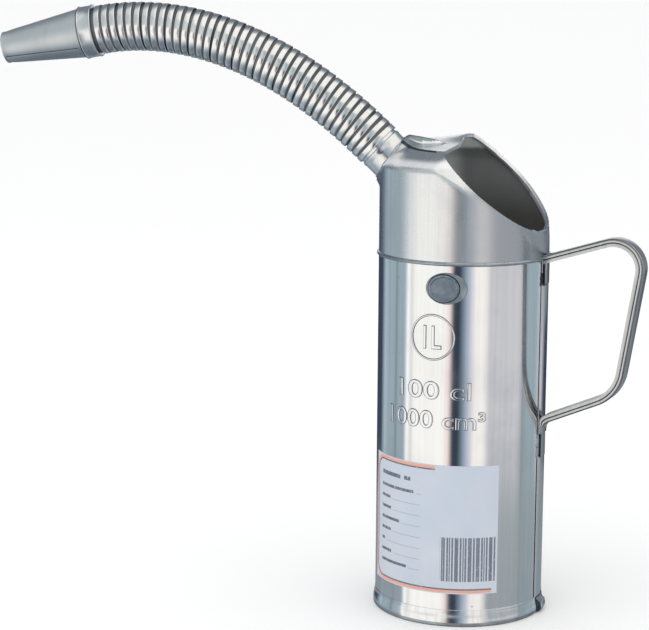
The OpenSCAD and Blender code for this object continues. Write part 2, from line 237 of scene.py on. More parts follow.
def choose(piece, kind, test):
    """Selects the vertices, edges or faces of the piece in edit mode that pass a test."""
    mesh = bmesh.from_edit_mesh(piece.data)
    for group in (mesh.faces, mesh.edges, mesh.verts):
        for item in group:
            item.select = False
    for item in getattr(mesh, kind):
        if test(item):
            item.select_set(True)
    bmesh.update_edit_mesh(piece.data)


def drawn_line(name, points, closed=False):
    """A line of edges, extruded from point to point. It stays in edit mode, all selected."""
    deselect_all()
    bpy.ops.mesh.primitive_plane_add(size=MM, location=(0, 0, 0))
    piece = named(name)
    begin_edit(piece)
    bpy.ops.mesh.merge(type="CENTER")
    bpy.ops.transform.translate(value=Vector(points[0]))
    for here, there in zip(points, points[1:]):
        step = Vector(there) - Vector(here)
        bpy.ops.mesh.extrude_region_move(TRANSFORM_OT_translate={"value": step})
    if closed:
        ends = (0, len(points) - 1)
        choose(piece, "verts", lambda vert: vert.index in ends)
        bpy.ops.mesh.edge_face_add()
    bpy.ops.mesh.select_all(action="SELECT")
    return piece


def tidy_mesh(threshold=0.01 * MM):
    """Merges doubles and turns all faces outwards, in edit mode."""
    bpy.ops.mesh.select_all(action="SELECT")
    bpy.ops.mesh.remove_doubles(threshold=threshold)
    bpy.ops.mesh.normals_make_consistent(inside=False)


def spun(name, profile, steps=128, closed=True):
    """A solid of revolution round Z from a profile of (radius, height) points."""
    piece = drawn_line(name, [(r, 0, z) for r, z in profile], closed)
    bpy.ops.mesh.spin(steps=steps, angle=math.tau, center=(0, 0, 0), axis=(0, 0, 1))
    tidy_mesh()
    end_edit()
    return piece


def swept_part(name, profile, middle, sweep, steps=12):
    """A closed profile of (radius, height) points, swept round Z through part of a turn, with ends."""
    start = middle - sweep / 2
    points = [(r * math.cos(start), r * math.sin(start), z) for r, z in profile]
    piece = drawn_line(name, points, True)
    bpy.ops.mesh.spin(steps=steps, angle=sweep, center=(0, 0, 0), axis=(0, 0, -1))
    bpy.ops.mesh.select_all(action="SELECT")
    bpy.ops.mesh.remove_doubles(threshold=0.001 * MM)
    bpy.ops.mesh.fill_holes(sides=0)
    tidy_mesh(0.001 * MM)
    end_edit()
    return piece


def arc(centre, radius, start, end, steps):
    """Points of a flat arc, between two angles in degrees."""
    x, y = centre
    angles = [math.radians(start + (end - start) * k / steps) for k in range(steps + 1)]
    return [(x + radius * math.cos(a), y + radius * math.sin(a)) for a in angles]


def apply_modifier(piece, kind, **settings):
    """Adds a modifier with these settings and applies it."""
    pick(piece)
    modifier = piece.modifiers.new(kind.title(), kind)
    for name, value in settings.items():
        setattr(modifier, name, value)
    bpy.ops.object.modifier_apply(modifier=modifier.name)


def round_edges(piece, width, segments=2, over=35):
    """Bevels all edges sharper than an angle in degrees."""
    apply_modifier(
        piece, "BEVEL", width=width, segments=segments, limit_method="ANGLE", angle_limit=math.radians(over),
        use_clamp_overlap=True, harden_normals=False)


def smooth(piece, over=40):
    """Shades the piece smooth up to an angle in degrees."""
    pick(piece)
    bpy.ops.object.shade_smooth_by_angle(angle=math.radians(over))


def put(piece, place):
    """Moves the mesh of a piece by a matrix, so that its object stays at the origin."""
    piece.matrix_world = place
    pick(piece)
    bpy.ops.object.transform_apply(location=True, rotation=True, scale=True)


def copy_of(piece, name):
    """A copy with a mesh of its own."""
    twin = piece.copy()
    twin.data = piece.data.copy()
    twin.name = name
    twin.data.name = name
    bpy.context.scene.collection.objects.link(twin)
    return twin


def joined(name, pieces):
    """Joins pieces into the first one."""
    deselect_all()
    for piece in pieces:
        piece.select_set(True)
    bpy.context.view_layer.objects.active = pieces[0]
    bpy.ops.object.join()
    return named(name)


def paint(piece, *materials):
    """Gives the piece its materials, in slot order."""
    piece.data.materials.clear()
    for material in materials:
        piece.data.materials.append(material)


def finish_faces(piece, rule):
    """Gives each face the slot number that a rule returns for it. It comes after paint, which resets it."""
    for face in piece.data.polygons:
        face.material_index = rule(face)


def oblong(inner, outer, low, top):
    """The four corners of a plain ring's section."""
    return [(inner, low), (outer, low), (outer, top), (inner, top)]


def finish_piece(piece, body, node):
    """Fastens a finished piece to its body, in place of its plain node."""
    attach(piece, body)
    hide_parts(node)


def wrap_round(piece, radius, angle, height):
    """Bends a piece that lies at the origin, facing -Y, round the wall, and turns it to its angle."""
    width = spread([vert.co.x for vert in piece.data.vertices])[1]
    apply_modifier(piece, "SIMPLE_DEFORM", deform_method="BEND", deform_axis="Z", angle=width / radius)
    put(piece, Matrix.Rotation(angle, 4, "Z") @ Matrix.Translation((0, -radius, height)))


def unit(value):
    """A value kept between 0 and 1."""
    return min(1.0, max(0.0, value))


def spread(values):
    """Middle and width of a run of values."""
    low, high = min(values), max(values)
    return (low + high) / 2, high - low


# Materials

class Signal:
    """An output of a node, with the arithmetic that its number is used in."""

    def __init__(self, board, socket):
        self.board = board
        self.socket = socket

    def math(self, operation, *others):
        return self.board.math(operation, self, *others)

    def __add__(self, other):
        return self.math("ADD", other)

    __radd__ = __add__

    def __mul__(self, other):
        return self.math("MULTIPLY", other)

    __rmul__ = __mul__

    def __sub__(self, other):
        return self.math("SUBTRACT", other)

    def __rsub__(self, other):
        return self.board.math("SUBTRACT", other, self)

    def __truediv__(self, other):
        return self.math("DIVIDE", other)

    def __neg__(self):
        return self.math("MULTIPLY", -1.0)

    def below(self, level):
        return self.math("LESS_THAN", level)

    def power(self, exponent):
        return self.math("POWER", exponent)

    def size(self):
        return self.math("ABSOLUTE")

    def least(self, other):
        return self.math("MINIMUM", other)

    def most(self, other):
        return self.math("MAXIMUM", other)


class Board:
    """A node tree and the ways that nodes are added to it."""

    def __init__(self, owner):
        owner.use_nodes = True
        self.nodes = owner.node_tree.nodes
        self.links = owner.node_tree.links
        self.nodes.clear()

    def node(self, kind, settings=None, values=None):
        """Adds a node: its settings are set first, then the values or links of its sockets."""
        made = self.nodes.new(kind)
        for name, value in (settings or {}).items():
            if name == "stops":
                self.set_stops(made.color_ramp, value)
            else:
                setattr(made, name, value)
        for name, value in (values or {}).items():
            socket = made.inputs[name]
            if isinstance(value, Signal):
                self.links.new(value.socket, socket)
            else:
                socket.default_value = value
        return made

    def set_stops(self, ramp, stops):
        while len(ramp.elements) < len(stops):
            ramp.elements.new(1.0)
        for element, (place, shade) in zip(ramp.elements, stops):
            element.position = place
            element.color = (*shade, 1.0)

    def signal(self, kind, settings=None, values=None, out=0):
        return Signal(self, self.node(kind, settings, values).outputs[out])

    def math(self, operation, *operands):
        return self.signal("ShaderNodeMath", {"operation": operation}, dict(enumerate(operands)))

    def mix(self, factor, first, second):
        """Mixes two colours, each a signal or three numbers."""
        shades = [shade if isinstance(shade, Signal) else (*shade, 1.0) for shade in (first, second)]
        return self.signal(
            "ShaderNodeMix", {"data_type": "RGBA"}, {0: factor, 6: shades[0], 7: shades[1]}, out=2)

    def place(self, scale=(1, 1, 1)):
        """Object coordinates in metres, stretched for a pattern."""
        spot = self.signal("ShaderNodeTexCoord", out=3)
        return self.signal("ShaderNodeMapping", None, {"Vector": spot, "Scale": scale})

    def noise(self, vector, scale, detail=2.0, rough=0.5):
        return self.signal(
            "ShaderNodeTexNoise", None,
            {"Vector": vector, "Scale": scale, "Detail": detail, "Roughness": rough})

    def step(self, value, low, high):
        """A smooth step from 0 to 1 between two levels."""
        return self.signal(
            "ShaderNodeMapRange", {"interpolation_type": "SMOOTHSTEP"},
            {"Value": value, "From Min": low, "From Max": high})

    def axes(self, vector):
        """The three numbers of a vector."""
        split = self.node("ShaderNodeSeparateXYZ", None, {"Vector": vector})
        return [Signal(self, split.outputs[axis]) for axis in "XYZ"]

    def bump(self, height):
        """A normal from a height in metres."""
        return self.signal("ShaderNodeBump", None, {"Height": height, "Strength": 1.0, "Distance": 1.0})

    def surface(self, **values):
        """The finished surface shader."""
        wanted = {name.replace("_", " ").title(): value for name, value in values.items() if name != "ior"}
        if "ior" in values:
            wanted["IOR"] = values["ior"]
        shader = self.signal("ShaderNodeBsdfPrincipled", None, wanted)
        self.node("ShaderNodeOutputMaterial", None, {"Surface": shader})


def new_board(name):
    material = bpy.data.materials.new(name)
    return material, Board(material)


def specks(board, scale, radius, kept):
    """A mask of small round specks, of which only a share is kept."""
    cells = board.node("ShaderNodeTexVoronoi", None, {"Vector": board.place(), "Scale": scale})
    near = board.step(Signal(board, cells.outputs["Distance"]), radius, radius * 0.4)
    lot = board.signal("ShaderNodeSeparateColor", None, {"Color": Signal(board, cells.outputs["Color"])})
    return near * lot.below(kept)


def sheet_metal(
        name, bright, dull, roughness, streaks=0.5, grain=0.5, wave=0.03, patches=0.35,
        painted_shade_x=None, frosted=None):
    """Tinned sheet: rolling streaks, dulled patches, a fine grain, specks and a slight waviness.

    From the first to the second distance along X in the painted-shade span, the colour darkens towards the
    dull one: painted shade. Between the two heights in frosted, the tin is pale and matt.
    """
    material, board = new_board(name)
    streak = board.noise(board.place((420, 420, 7)), 1.0, 3.0, 0.6)
    patch = board.step(board.noise(board.place(), 26.0, 4.0, 0.6), 0.45, 0.75)
    fine = board.noise(board.place((1, 1, 0.25)), 2600.0, 2.0, 0.5)
    speck = specks(board, 95.0, 0.07, 0.16)
    dullness = board.step(streak, 0.35, 0.75) * streaks + patch * patches + speck * 0.8
    # Painted shade: the colour darkens along X between the two distances
    if painted_shade_x:
        along = board.axes(board.place())[0]
        dullness = dullness + board.step(along, *painted_shade_x)
    shade = board.mix(dullness.least(1.0), bright, dull)
    rough = roughness + streak * (0.06 * streaks) + patch * 0.06 + fine * (0.05 * grain) + speck * 0.25
    metal = 1.0
    if frosted:
        low, top = frosted
        level = board.axes(board.place())[2] + patch * (0.6 * MM)
        frost = board.step(level, low - 0.8 * MM, low + 0.8 * MM)
        frost = frost * board.step(level, top + 1.2 * MM, top - 1.2 * MM)
        metal = 1 - frost * 0.6
    slow = board.noise(board.place((1, 1, 0.35)), 38.0, 1.0, 0.4)
    height = slow * (wave * MM) + fine * (0.0012 * grain * MM) + streak * (0.0015 * streaks * MM)
    board.surface(base_color=shade, metallic=metal, roughness=rough.least(0.9), normal=board.bump(height))
    return material


def grime_and_shade_metal(name, shade, dark, roughness):
    """Metal under a mottled film of oil and dust; where its colours are dark, it stands mostly for painted
    shade.
    """
    material, board = new_board(name)
    film = board.step(board.noise(board.place(), 60.0, 4.0, 0.65), 0.3, 0.7)
    tint = board.mix(film, shade, dark)
    fine = board.noise(board.place(), 1500.0, 2.0, 0.5)
    normal = board.bump(fine * (0.002 * MM))
    board.surface(base_color=tint, metallic=1.0, roughness=roughness + film * 0.15, normal=normal)
    return material


def film_and_shade(name, shade, dark, roughness):
    """Sheet metal under a matt film of oil, which hides its shine; where its colours are dark, it also
    stands for painted shade.
    """
    material, board = new_board(name)
    film = board.step(board.noise(board.place(), 45.0, 4.0, 0.6), 0.3, 0.7)
    tint = board.mix(film, shade, dark)
    board.surface(base_color=tint, metallic=0.0, roughness=roughness + film * 0.1, ior=1.3)
    return material


def hood_inside(name, sizes, colours):
    """The oiled inside of the hood, with painted light and shade: darkest low down, paler towards the spout,
    and a pale lit patch under the deck.
    """
    material, board = new_board(name)
    film = board.step(board.noise(board.place(), 45.0, 4.0, 0.6), 0.3, 0.7)
    along, _, high = board.axes(board.place())
    deck = sizes.body_h + sizes.deck_h
    # Painted shade: darker low down in the hood
    tint = board.mix(board.step(high, deck - 44 * MM, deck - 16 * MM), (0.12, 0.115, 0.11), colours.inside)
    # Painted light: paler towards the spout's side
    tint = board.mix(board.step(along, -13.5 * MM, -22.5 * MM), tint, (0.62, 0.66, 0.65))
    # Painted light: a pale lit patch just under the deck
    lit_patch = board.step(high + film * (0.8 * MM), deck - 7.8 * MM, deck - 5.4 * MM)
    tint = board.mix(lit_patch, tint, (0.93, 0.98, 0.96))
    tint = board.mix(film * 0.2, tint, (0.09, 0.10, 0.11))
    board.surface(base_color=tint, metallic=0.0, roughness=0.5 + film * 0.1, ior=1.3)
    return material


def soft_solder(name, shade, dark, roughness, lumps=0.12):
    """Soft solder that was wiped while it set: lumpy, with dull flux stains."""
    material, board = new_board(name)
    stain = board.step(board.noise(board.place(), 240.0, 4.0, 0.7), 0.42, 0.68)
    lump = board.noise(board.place(), 420.0, 3.0, 0.55)
    tint = board.mix(stain, shade, dark)
    normal = board.bump(lump * (lumps * MM))
    board.surface(base_color=tint, metallic=1.0, roughness=roughness + stain * 0.2, normal=normal)
    return material


def label_paper(name, sizes, colours):
    """Coated label paper with a border line at three sides, rows of thin rules and generic upright bars."""
    material, board = new_board(name)
    uv = board.signal("ShaderNodeUVMap", {"uv_map": "UVMap"})
    wide, tall = sizes.label_w / MM, sizes.label_h / MM
    u, v, _ = board.axes(uv)
    across, high = u * wide, v * tall

    def box(left, right, low, top, soft=0.12):
        inner = (across - (left + right) / 2).size() - (right - left) / 2
        upper = (high - (low + top) / 2).size() - (top - low) / 2
        return board.step(inner.most(upper), soft, -soft)

    # Border line along a rectangle with round corners, open at the right
    corner = 7.0
    margin = 1.5
    side = (across - (margin + corner)).math("MINIMUM", 0.0)
    rise = (high - tall / 2).size() - (tall / 2 - margin - corner)
    bend = (side * side + rise.most(0.0) * rise.most(0.0)).power(0.5) - corner
    top_run, low_run = 43.0, wide - 3.0
    upper = board.step(high, tall / 2 - 1, tall / 2 + 1)
    open_end = board.step(across - (top_run * upper + low_run * (1 - upper)), 0.3, -0.3)
    outer_line = board.step((bend - 0.35).size(), 0.95, 0.35) * open_end
    inner_line = board.step((bend + 0.75).size(), 0.6, 0.2) * open_end

    # Short bars for the words and thin rules for the lines of the text column
    left = 7.4
    head_low, head_top = tall - 9.9, tall - 7.9
    words = box(left, left + 15.5, head_low, head_top) + box(left + 18, left + 22, head_low, head_top)
    rules = 0.0
    lengths = (24.0, 8.0, 8.5, 15.0, 8.5, 3.0, 9.0, 20.0)
    for row, run in enumerate(lengths):
        low = tall - 16.0 - 5.6 * row
        words = words + box(left, left + run, low, low + 1.5)
        rules = box(left + run + 1.5, left + 28.0, low - 0.1, low + 0.2, 0.1) * 0.5 + rules
    fine = board.signal("ShaderNodeMapping", None, {"Vector": uv, "Scale": (150, 20, 1)})
    words = words.least(1.0) * board.step(board.noise(fine, 1.0, 1.0), 0.30, 0.42)

    # Generic upright bars
    lanes = (across * 4.7).math("SINE") + (across * 2.9 + 0.6).math("SINE") * 0.8
    bars = board.step(lanes, -0.5, -0.2) * box(46.2, 74.9, 6.4, 29.0)

    worn = board.noise(board.place(), 900.0, 3.0, 0.6)
    shade_spot = board.step(board.noise(board.place(), 45.0, 3.0, 0.5), 0.3, 0.8)
    paper = board.mix(shade_spot * 0.5, colours.paper, (0.66, 0.65, 0.68))
    ink = (words + rules + bars * 0.9 + inner_line).least(1.0) * board.step(worn, 0.2, 0.42)
    tint = board.mix(ink * 0.85, paper, colours.ink)
    tint = board.mix(outer_line * 0.9, tint, colours.border)
    crease = board.noise(board.place((1, 1, 0.3)), 120.0, 2.0, 0.5)
    board.surface(
        base_color=tint, metallic=0.0, roughness=0.42 + worn * 0.15, ior=1.45,
        normal=board.bump(crease * (0.05 * MM)))
    return material


def plain_floor(name, shade):
    """Pale studio floor with a faint mottle."""
    material, board = new_board(name)
    mottle = board.noise(board.place(), 6.0, 3.0, 0.5)
    tint = board.mix(mottle * 0.04, shade, (0.9, 0.9, 0.91))
    board.surface(base_color=tint, metallic=0.0, roughness=0.8 + mottle * 0.1)
    return material


# Forms shared by the pieces

def neck_place(sizes):
    """Place of the neck joint, with Z along the spout."""
    height = sizes.body_h + sizes.deck_h - sizes.neck_drop
    spot = Matrix.Translation((-(sizes.body_r - sizes.neck_in), 0, height))
    tip = Matrix.Rotation(sizes.spout_rise - math.pi / 2, 4, "Y")
    return Matrix.Rotation(sizes.spout_turn, 4, "Z") @ spot @ tip


def link_bend(sizes, i):
    return sizes.first_angle + (sizes.last_angle - sizes.first_angle) * i / (LINKS - 1)


def link_place(sizes, i, along=0.0):
    """Place on the spout's centre line, a share of the way along link i, with Z forward and X outwards."""
    heading = math.pi - sizes.spout_rise
    link_l = RIBS_PER_LINK * sizes.rib_pitch
    x = -(sizes.body_r - sizes.neck_in) - sizes.ferrule_l * math.cos(sizes.spout_rise)
    z = sizes.body_h + sizes.deck_h - sizes.neck_drop + sizes.ferrule_l * math.sin(sizes.spout_rise)
    for k in range(i + 1):
        part = 1.0 if k < i else along
        bend = link_bend(sizes, min(k, LINKS - 1))
        radius = link_l / bend
        ahead = heading + bend * part
        x += radius * (math.sin(ahead) - math.sin(heading))
        z -= radius * (math.cos(ahead) - math.cos(heading))
        heading = ahead
    spot = Matrix.Translation((x, 0, z))
    return Matrix.Rotation(sizes.spout_turn, 4, "Z") @ spot @ Matrix.Rotation(math.pi / 2 - heading, 4, "Y")


def rib_lean(sizes, i, k):
    """Tilt of rib k of link i, the same at both sides of a hinge, which fades out at the spout's ends."""
    order = RIBS_PER_LINK * i + k
    if k == 0 and i > 0:
        order -= 1
    return sizes.rib_tilt * min(1.0, order / 4, (RIBS - order) / 4)


class Handle:
    """Centre line of the handle in the X-Z plane, as legs and round corners."""

    def __init__(self, sizes):
        fit = 0.02 * MM
        tail_r = sizes.body_r + sizes.lap_t + fit
        arm_top_z = sizes.body_h - sizes.arm_drop
        arm_low_z = arm_top_z - sizes.arm_gap
        top_x = tail_r + sizes.grip_depth / 2
        low_x = tail_r - sizes.grip_depth / 2 + sizes.grip_t
        rise_top = math.tan(sizes.arm_rise)
        rise_low = math.tan(sizes.foot_rise)
        arm_top = Vector((top_x, arm_top_z + (top_x - sizes.body_r) * rise_top))
        arm_low = Vector((low_x, arm_low_z + (low_x - sizes.body_r) * rise_low))
        self.points = [
            Vector((top_x, arm_top.y - sizes.tail_top_l)),
            arm_top,
            Vector((sizes.body_r + sizes.reach_top, arm_top_z + sizes.reach_top * rise_top)),
            Vector((sizes.body_r + sizes.reach_low, arm_low_z + sizes.reach_low * rise_low)),
            arm_low,
            Vector((low_x, arm_low.y - sizes.tail_low_l)),
        ]
        self.radii = [0, sizes.root_top_r, sizes.corner_top_r, sizes.corner_low_r, sizes.root_low_r, 0]

    def direction(self, leg):
        step = self.points[leg + 1] - self.points[leg]
        return math.atan2(step.y, step.x)

    def corner_turn(self, i):
        change = self.direction(i) - self.direction(i - 1)
        return (change + math.pi) % math.tau - math.pi

    def cut_back(self, i):
        if self.radii[i] == 0:
            return 0.0
        return self.radii[i] * math.tan(abs(self.corner_turn(i)) / 2)

    def along(self, leg):
        a = self.direction(leg)
        return Vector((math.cos(a), math.sin(a)))

    def outward(self, leg):
        a = self.direction(leg)
        return Vector((-math.sin(a), math.cos(a)))

    def straight(self, leg):
        """Length of the straight stretch of a leg."""
        whole = (self.points[leg + 1] - self.points[leg]).length
        return whole - self.cut_back(leg) - self.cut_back(leg + 1)

    def leg_start(self, leg):
        return self.points[leg] + self.cut_back(leg) * self.along(leg)

    def corner_centre(self, i):
        inwards = math.copysign(self.radii[i], self.corner_turn(i)) * self.outward(i - 1)
        return self.points[i] - self.cut_back(i) * self.along(i - 1) + inwards


def flat_to_space(point, y=0.0):
    """A point of the handle's plane in space."""
    return Vector((point.x, y, point.y))


# Operators

class JUG_OT_body_wall(bpy.types.Operator):
    """Rolls the body wall with its side seam and presses the raised marks into it"""

    bl_idname = "jug.body_wall"
    bl_label = "Body wall"

    def execute(self, context):
        sizes, colours = context.scene.jug_sizes, context.scene.jug_colours
        bright = sheet_metal("bright_tin", colours.tin, colours.tin_dull, 0.085, 0.3)
        # The inside is a dark matt film: oil, darkened further as painted shade for the inside of the jug
        dark = film_and_shade("oiled_inside", (0.12, 0.12, 0.12), (0.09, 0.10, 0.11), 0.5)
        outer, inner = sizes.body_r, sizes.body_r - sizes.sheet_t
        low, top = sizes.sheet_t, sizes.body_h - sizes.bead_r
        wall = spun("rolled_wall", oblong(inner, outer, low, top), 192)
        paint(wall, bright, dark)
        middle_r = outer - sizes.sheet_t / 2
        finish_faces(wall, lambda face: 1 if face.center.xy.length < middle_r else 0)
        lap = self.side_lap(sizes)
        paint(lap, bright, dark)
        marks = [self.capacity_ring(sizes)]
        marks.append(self.raised_text(sizes, "1L", 11.4 * MM, 9.6 * MM, 0.0, sizes.ring_z))
        marks.append(self.raised_text(sizes, "100 cl", 8.6 * MM, 39.0 * MM, 0.4 * MM, 120.0 * MM))
        marks.append(self.raised_text(sizes, "1000 cm³", 8.6 * MM, 53.6 * MM, 0.8 * MM, 105.2 * MM))
        # The flanks of the marks get a dark metal: painted shade
        edge = grime_and_shade_metal("pressed_edge", (0.30, 0.31, 0.32), (0.16, 0.17, 0.18), 0.35)
        for mark in marks:
            paint(mark, bright, dark, edge)
            finish_faces(mark, self.mark_finish)
        wall = joined("rolled_wall", [wall, lap] + marks)
        smooth(wall, 35)
        finish_piece(wall, "jug", "body_shell")
        return {"FINISHED"}

    def mark_finish(self, face):
        """The flanks of a raised mark are painted darker than its crown, as painted shade."""
        outward = Vector((face.center.x, face.center.y, 0)).normalized()
        return 2 if face.normal.dot(outward) < 0.86 else 0

    def side_lap(self, sizes):
        """The lapped strip of the side seam."""
        low, top = sizes.skirt_h, sizes.body_h - sizes.bead_r
        loop = oblong(sizes.body_r - sizes.sheet_t / 2, sizes.body_r + sizes.lap_t, low, top)
        lap = swept_part("side_lap", loop, 0.0, sizes.lap_w / sizes.body_r, 14)
        round_edges(lap, 0.18 * MM, 3, 60)
        return lap

    def capacity_ring(self, sizes):
        """The raised ring round the capacity figure."""
        deselect_all()
        middle = sizes.ring_r - sizes.ring_w / 2
        bpy.ops.mesh.primitive_torus_add(
            major_radius=middle, minor_radius=sizes.ring_w / 2, major_segments=96, minor_segments=12,
            rotation=(math.pi / 2, 0, 0))
        ring = named("capacity_ring")
        flat = sizes.mark_t / (sizes.ring_w / 2)
        put(ring, Matrix.Diagonal((1, flat, 1, 1)) @ Matrix.Rotation(math.pi / 2, 4, "X"))
        wrap_round(ring, sizes.body_r, 0.0, sizes.ring_z)
        return ring

    def raised_text(self, sizes, words, tall, wide, shift, height):
        """Generic raised figures of this height and width that follow the wall, with rounded strokes."""
        cap_share = 0.7
        rounding = 0.55 * MM
        deselect_all()
        bpy.ops.object.text_add(rotation=(math.pi / 2, 0, 0))
        text = bpy.context.object
        text.data.body = words
        text.data.size = tall / cap_share
        text.data.align_x = "CENTER"
        text.data.align_y = "CENTER"
        text.data.offset = -0.2 * MM
        text.data.bevel_depth = rounding
        text.data.bevel_resolution = 3
        text.data.resolution_u = 5
        bpy.ops.object.convert(target="MESH")
        text = named("raised_" + "".join(mark for mark in words if mark.isalnum() and mark.isascii()))
        bpy.ops.object.transform_apply(location=True, rotation=True, scale=True)
        middle_x, set_wide = spread([vert.co.x for vert in text.data.vertices])
        middle_z = spread([vert.co.z for vert in text.data.vertices])[0]
        flatten = 0.92
        to_middle = Matrix.Translation((-middle_x, 0, -middle_z))
        put(text, Matrix.Diagonal((wide / set_wide, flatten, 1, 1)) @ to_middle)
        begin_edit(text)
        bpy.ops.mesh.select_all(action="SELECT")
        bpy.ops.mesh.remove_doubles(threshold=0.002 * MM)
        half = int(wide / 2 / MM) + 1
        for cut in range(-half, half + 1):
            bpy.ops.mesh.select_all(action="SELECT")
            bpy.ops.mesh.bisect(plane_co=(cut * MM, 0, 0), plane_no=(1, 0, 0))
        tidy_mesh(0.002 * MM)
        end_edit()
        wrap_round(text, sizes.body_r, shift / sizes.body_r, height)
        return text


class JUG_OT_base_pan(bpy.types.Operator):
    """Folds the base pan with its skirt and the bump over the side seam"""

    bl_idname = "jug.base_pan"
    bl_label = "Base pan"

    def execute(self, context):
        sizes, colours = context.scene.jug_sizes, context.scene.jug_colours
        fit = 0.05 * MM
        inner = sizes.body_r + fit
        outer = inner + sizes.skirt_t
        foot_r = 0.9 * MM
        profile = [(0, 0), (outer * 0.5, 0)]
        profile += arc((outer - foot_r, foot_r), foot_r, -90, 0, 5)
        thin = sizes.skirt_t * 0.82
        # The skirt thins out towards its top edge
        profile += [(outer, 2.0 * MM), (outer, 3.6 * MM), (outer - thin * 0.5, 5.3 * MM)]
        profile += [(outer - thin, 6.9 * MM), (outer - thin, 7.5 * MM)]
        lip_r = (sizes.skirt_t - thin) / 2
        profile += arc((outer - thin - lip_r, sizes.skirt_h - lip_r), lip_r, 0, 180, 6)
        profile += [(inner, sizes.sheet_t), (outer * 0.5, sizes.sheet_t), (0, sizes.sheet_t)]
        pan = spun("folded_base", profile, 240, closed=False)
        for vert in pan.data.vertices:
            flat = vert.co.xy
            if vert.co.x > 0 and flat.length > sizes.body_r + sizes.skirt_t * 0.3:
                near = max(0.0, 1 - self.bump_off(sizes, vert.co) ** 2)
                swell = sizes.bump_t * min(1.0, near * 2.8) * min(1.0, 0.35 + vert.co.z / (3 * MM))
                vert.co.xy = flat * (1 + swell / flat.length)
        tin = sheet_metal("base_tin", colours.tin, colours.tin_dull, 0.11, 0.7)
        worn = grime_and_shade_metal("worn_edge", (0.52, 0.56, 0.58), (0.34, 0.36, 0.38), 0.42)
        # Round the bump and along its top edge the pan gets a near-black metal: painted shade
        paint(pan, tin, grime_and_shade_metal("bump_grime", (0.10, 0.13, 0.16), (0.03, 0.04, 0.05), 0.45), worn)
        finish_faces(pan, lambda face: self.pan_finish(sizes, face.center))
        smooth(pan, 50)
        finish_piece(pan, "jug", "base_pan")
        return {"FINISHED"}

    def bump_off(self, sizes, spot):
        """Distance from the middle of the bump, as a share of its half width."""
        return abs(spot.y - sizes.bump_y) / (sizes.bump_w / 2)

    def pan_finish(self, sizes, spot):
        """Painted shade lies round the bump, and the lowest edge of the skirt is worn."""
        off, reach = self.bump_off(sizes, spot), spot.xy.length
        top_edge = off < 1.04 and spot.z > sizes.skirt_h - 1.1 * MM
        if spot.x > 0 and reach > sizes.body_r and spot.z > 1.2 * MM and (0.74 < off < 1.04 or top_edge):
            return 1
        return 2 if spot.z < 1.7 * MM and reach > sizes.body_r - 1 * MM else 0


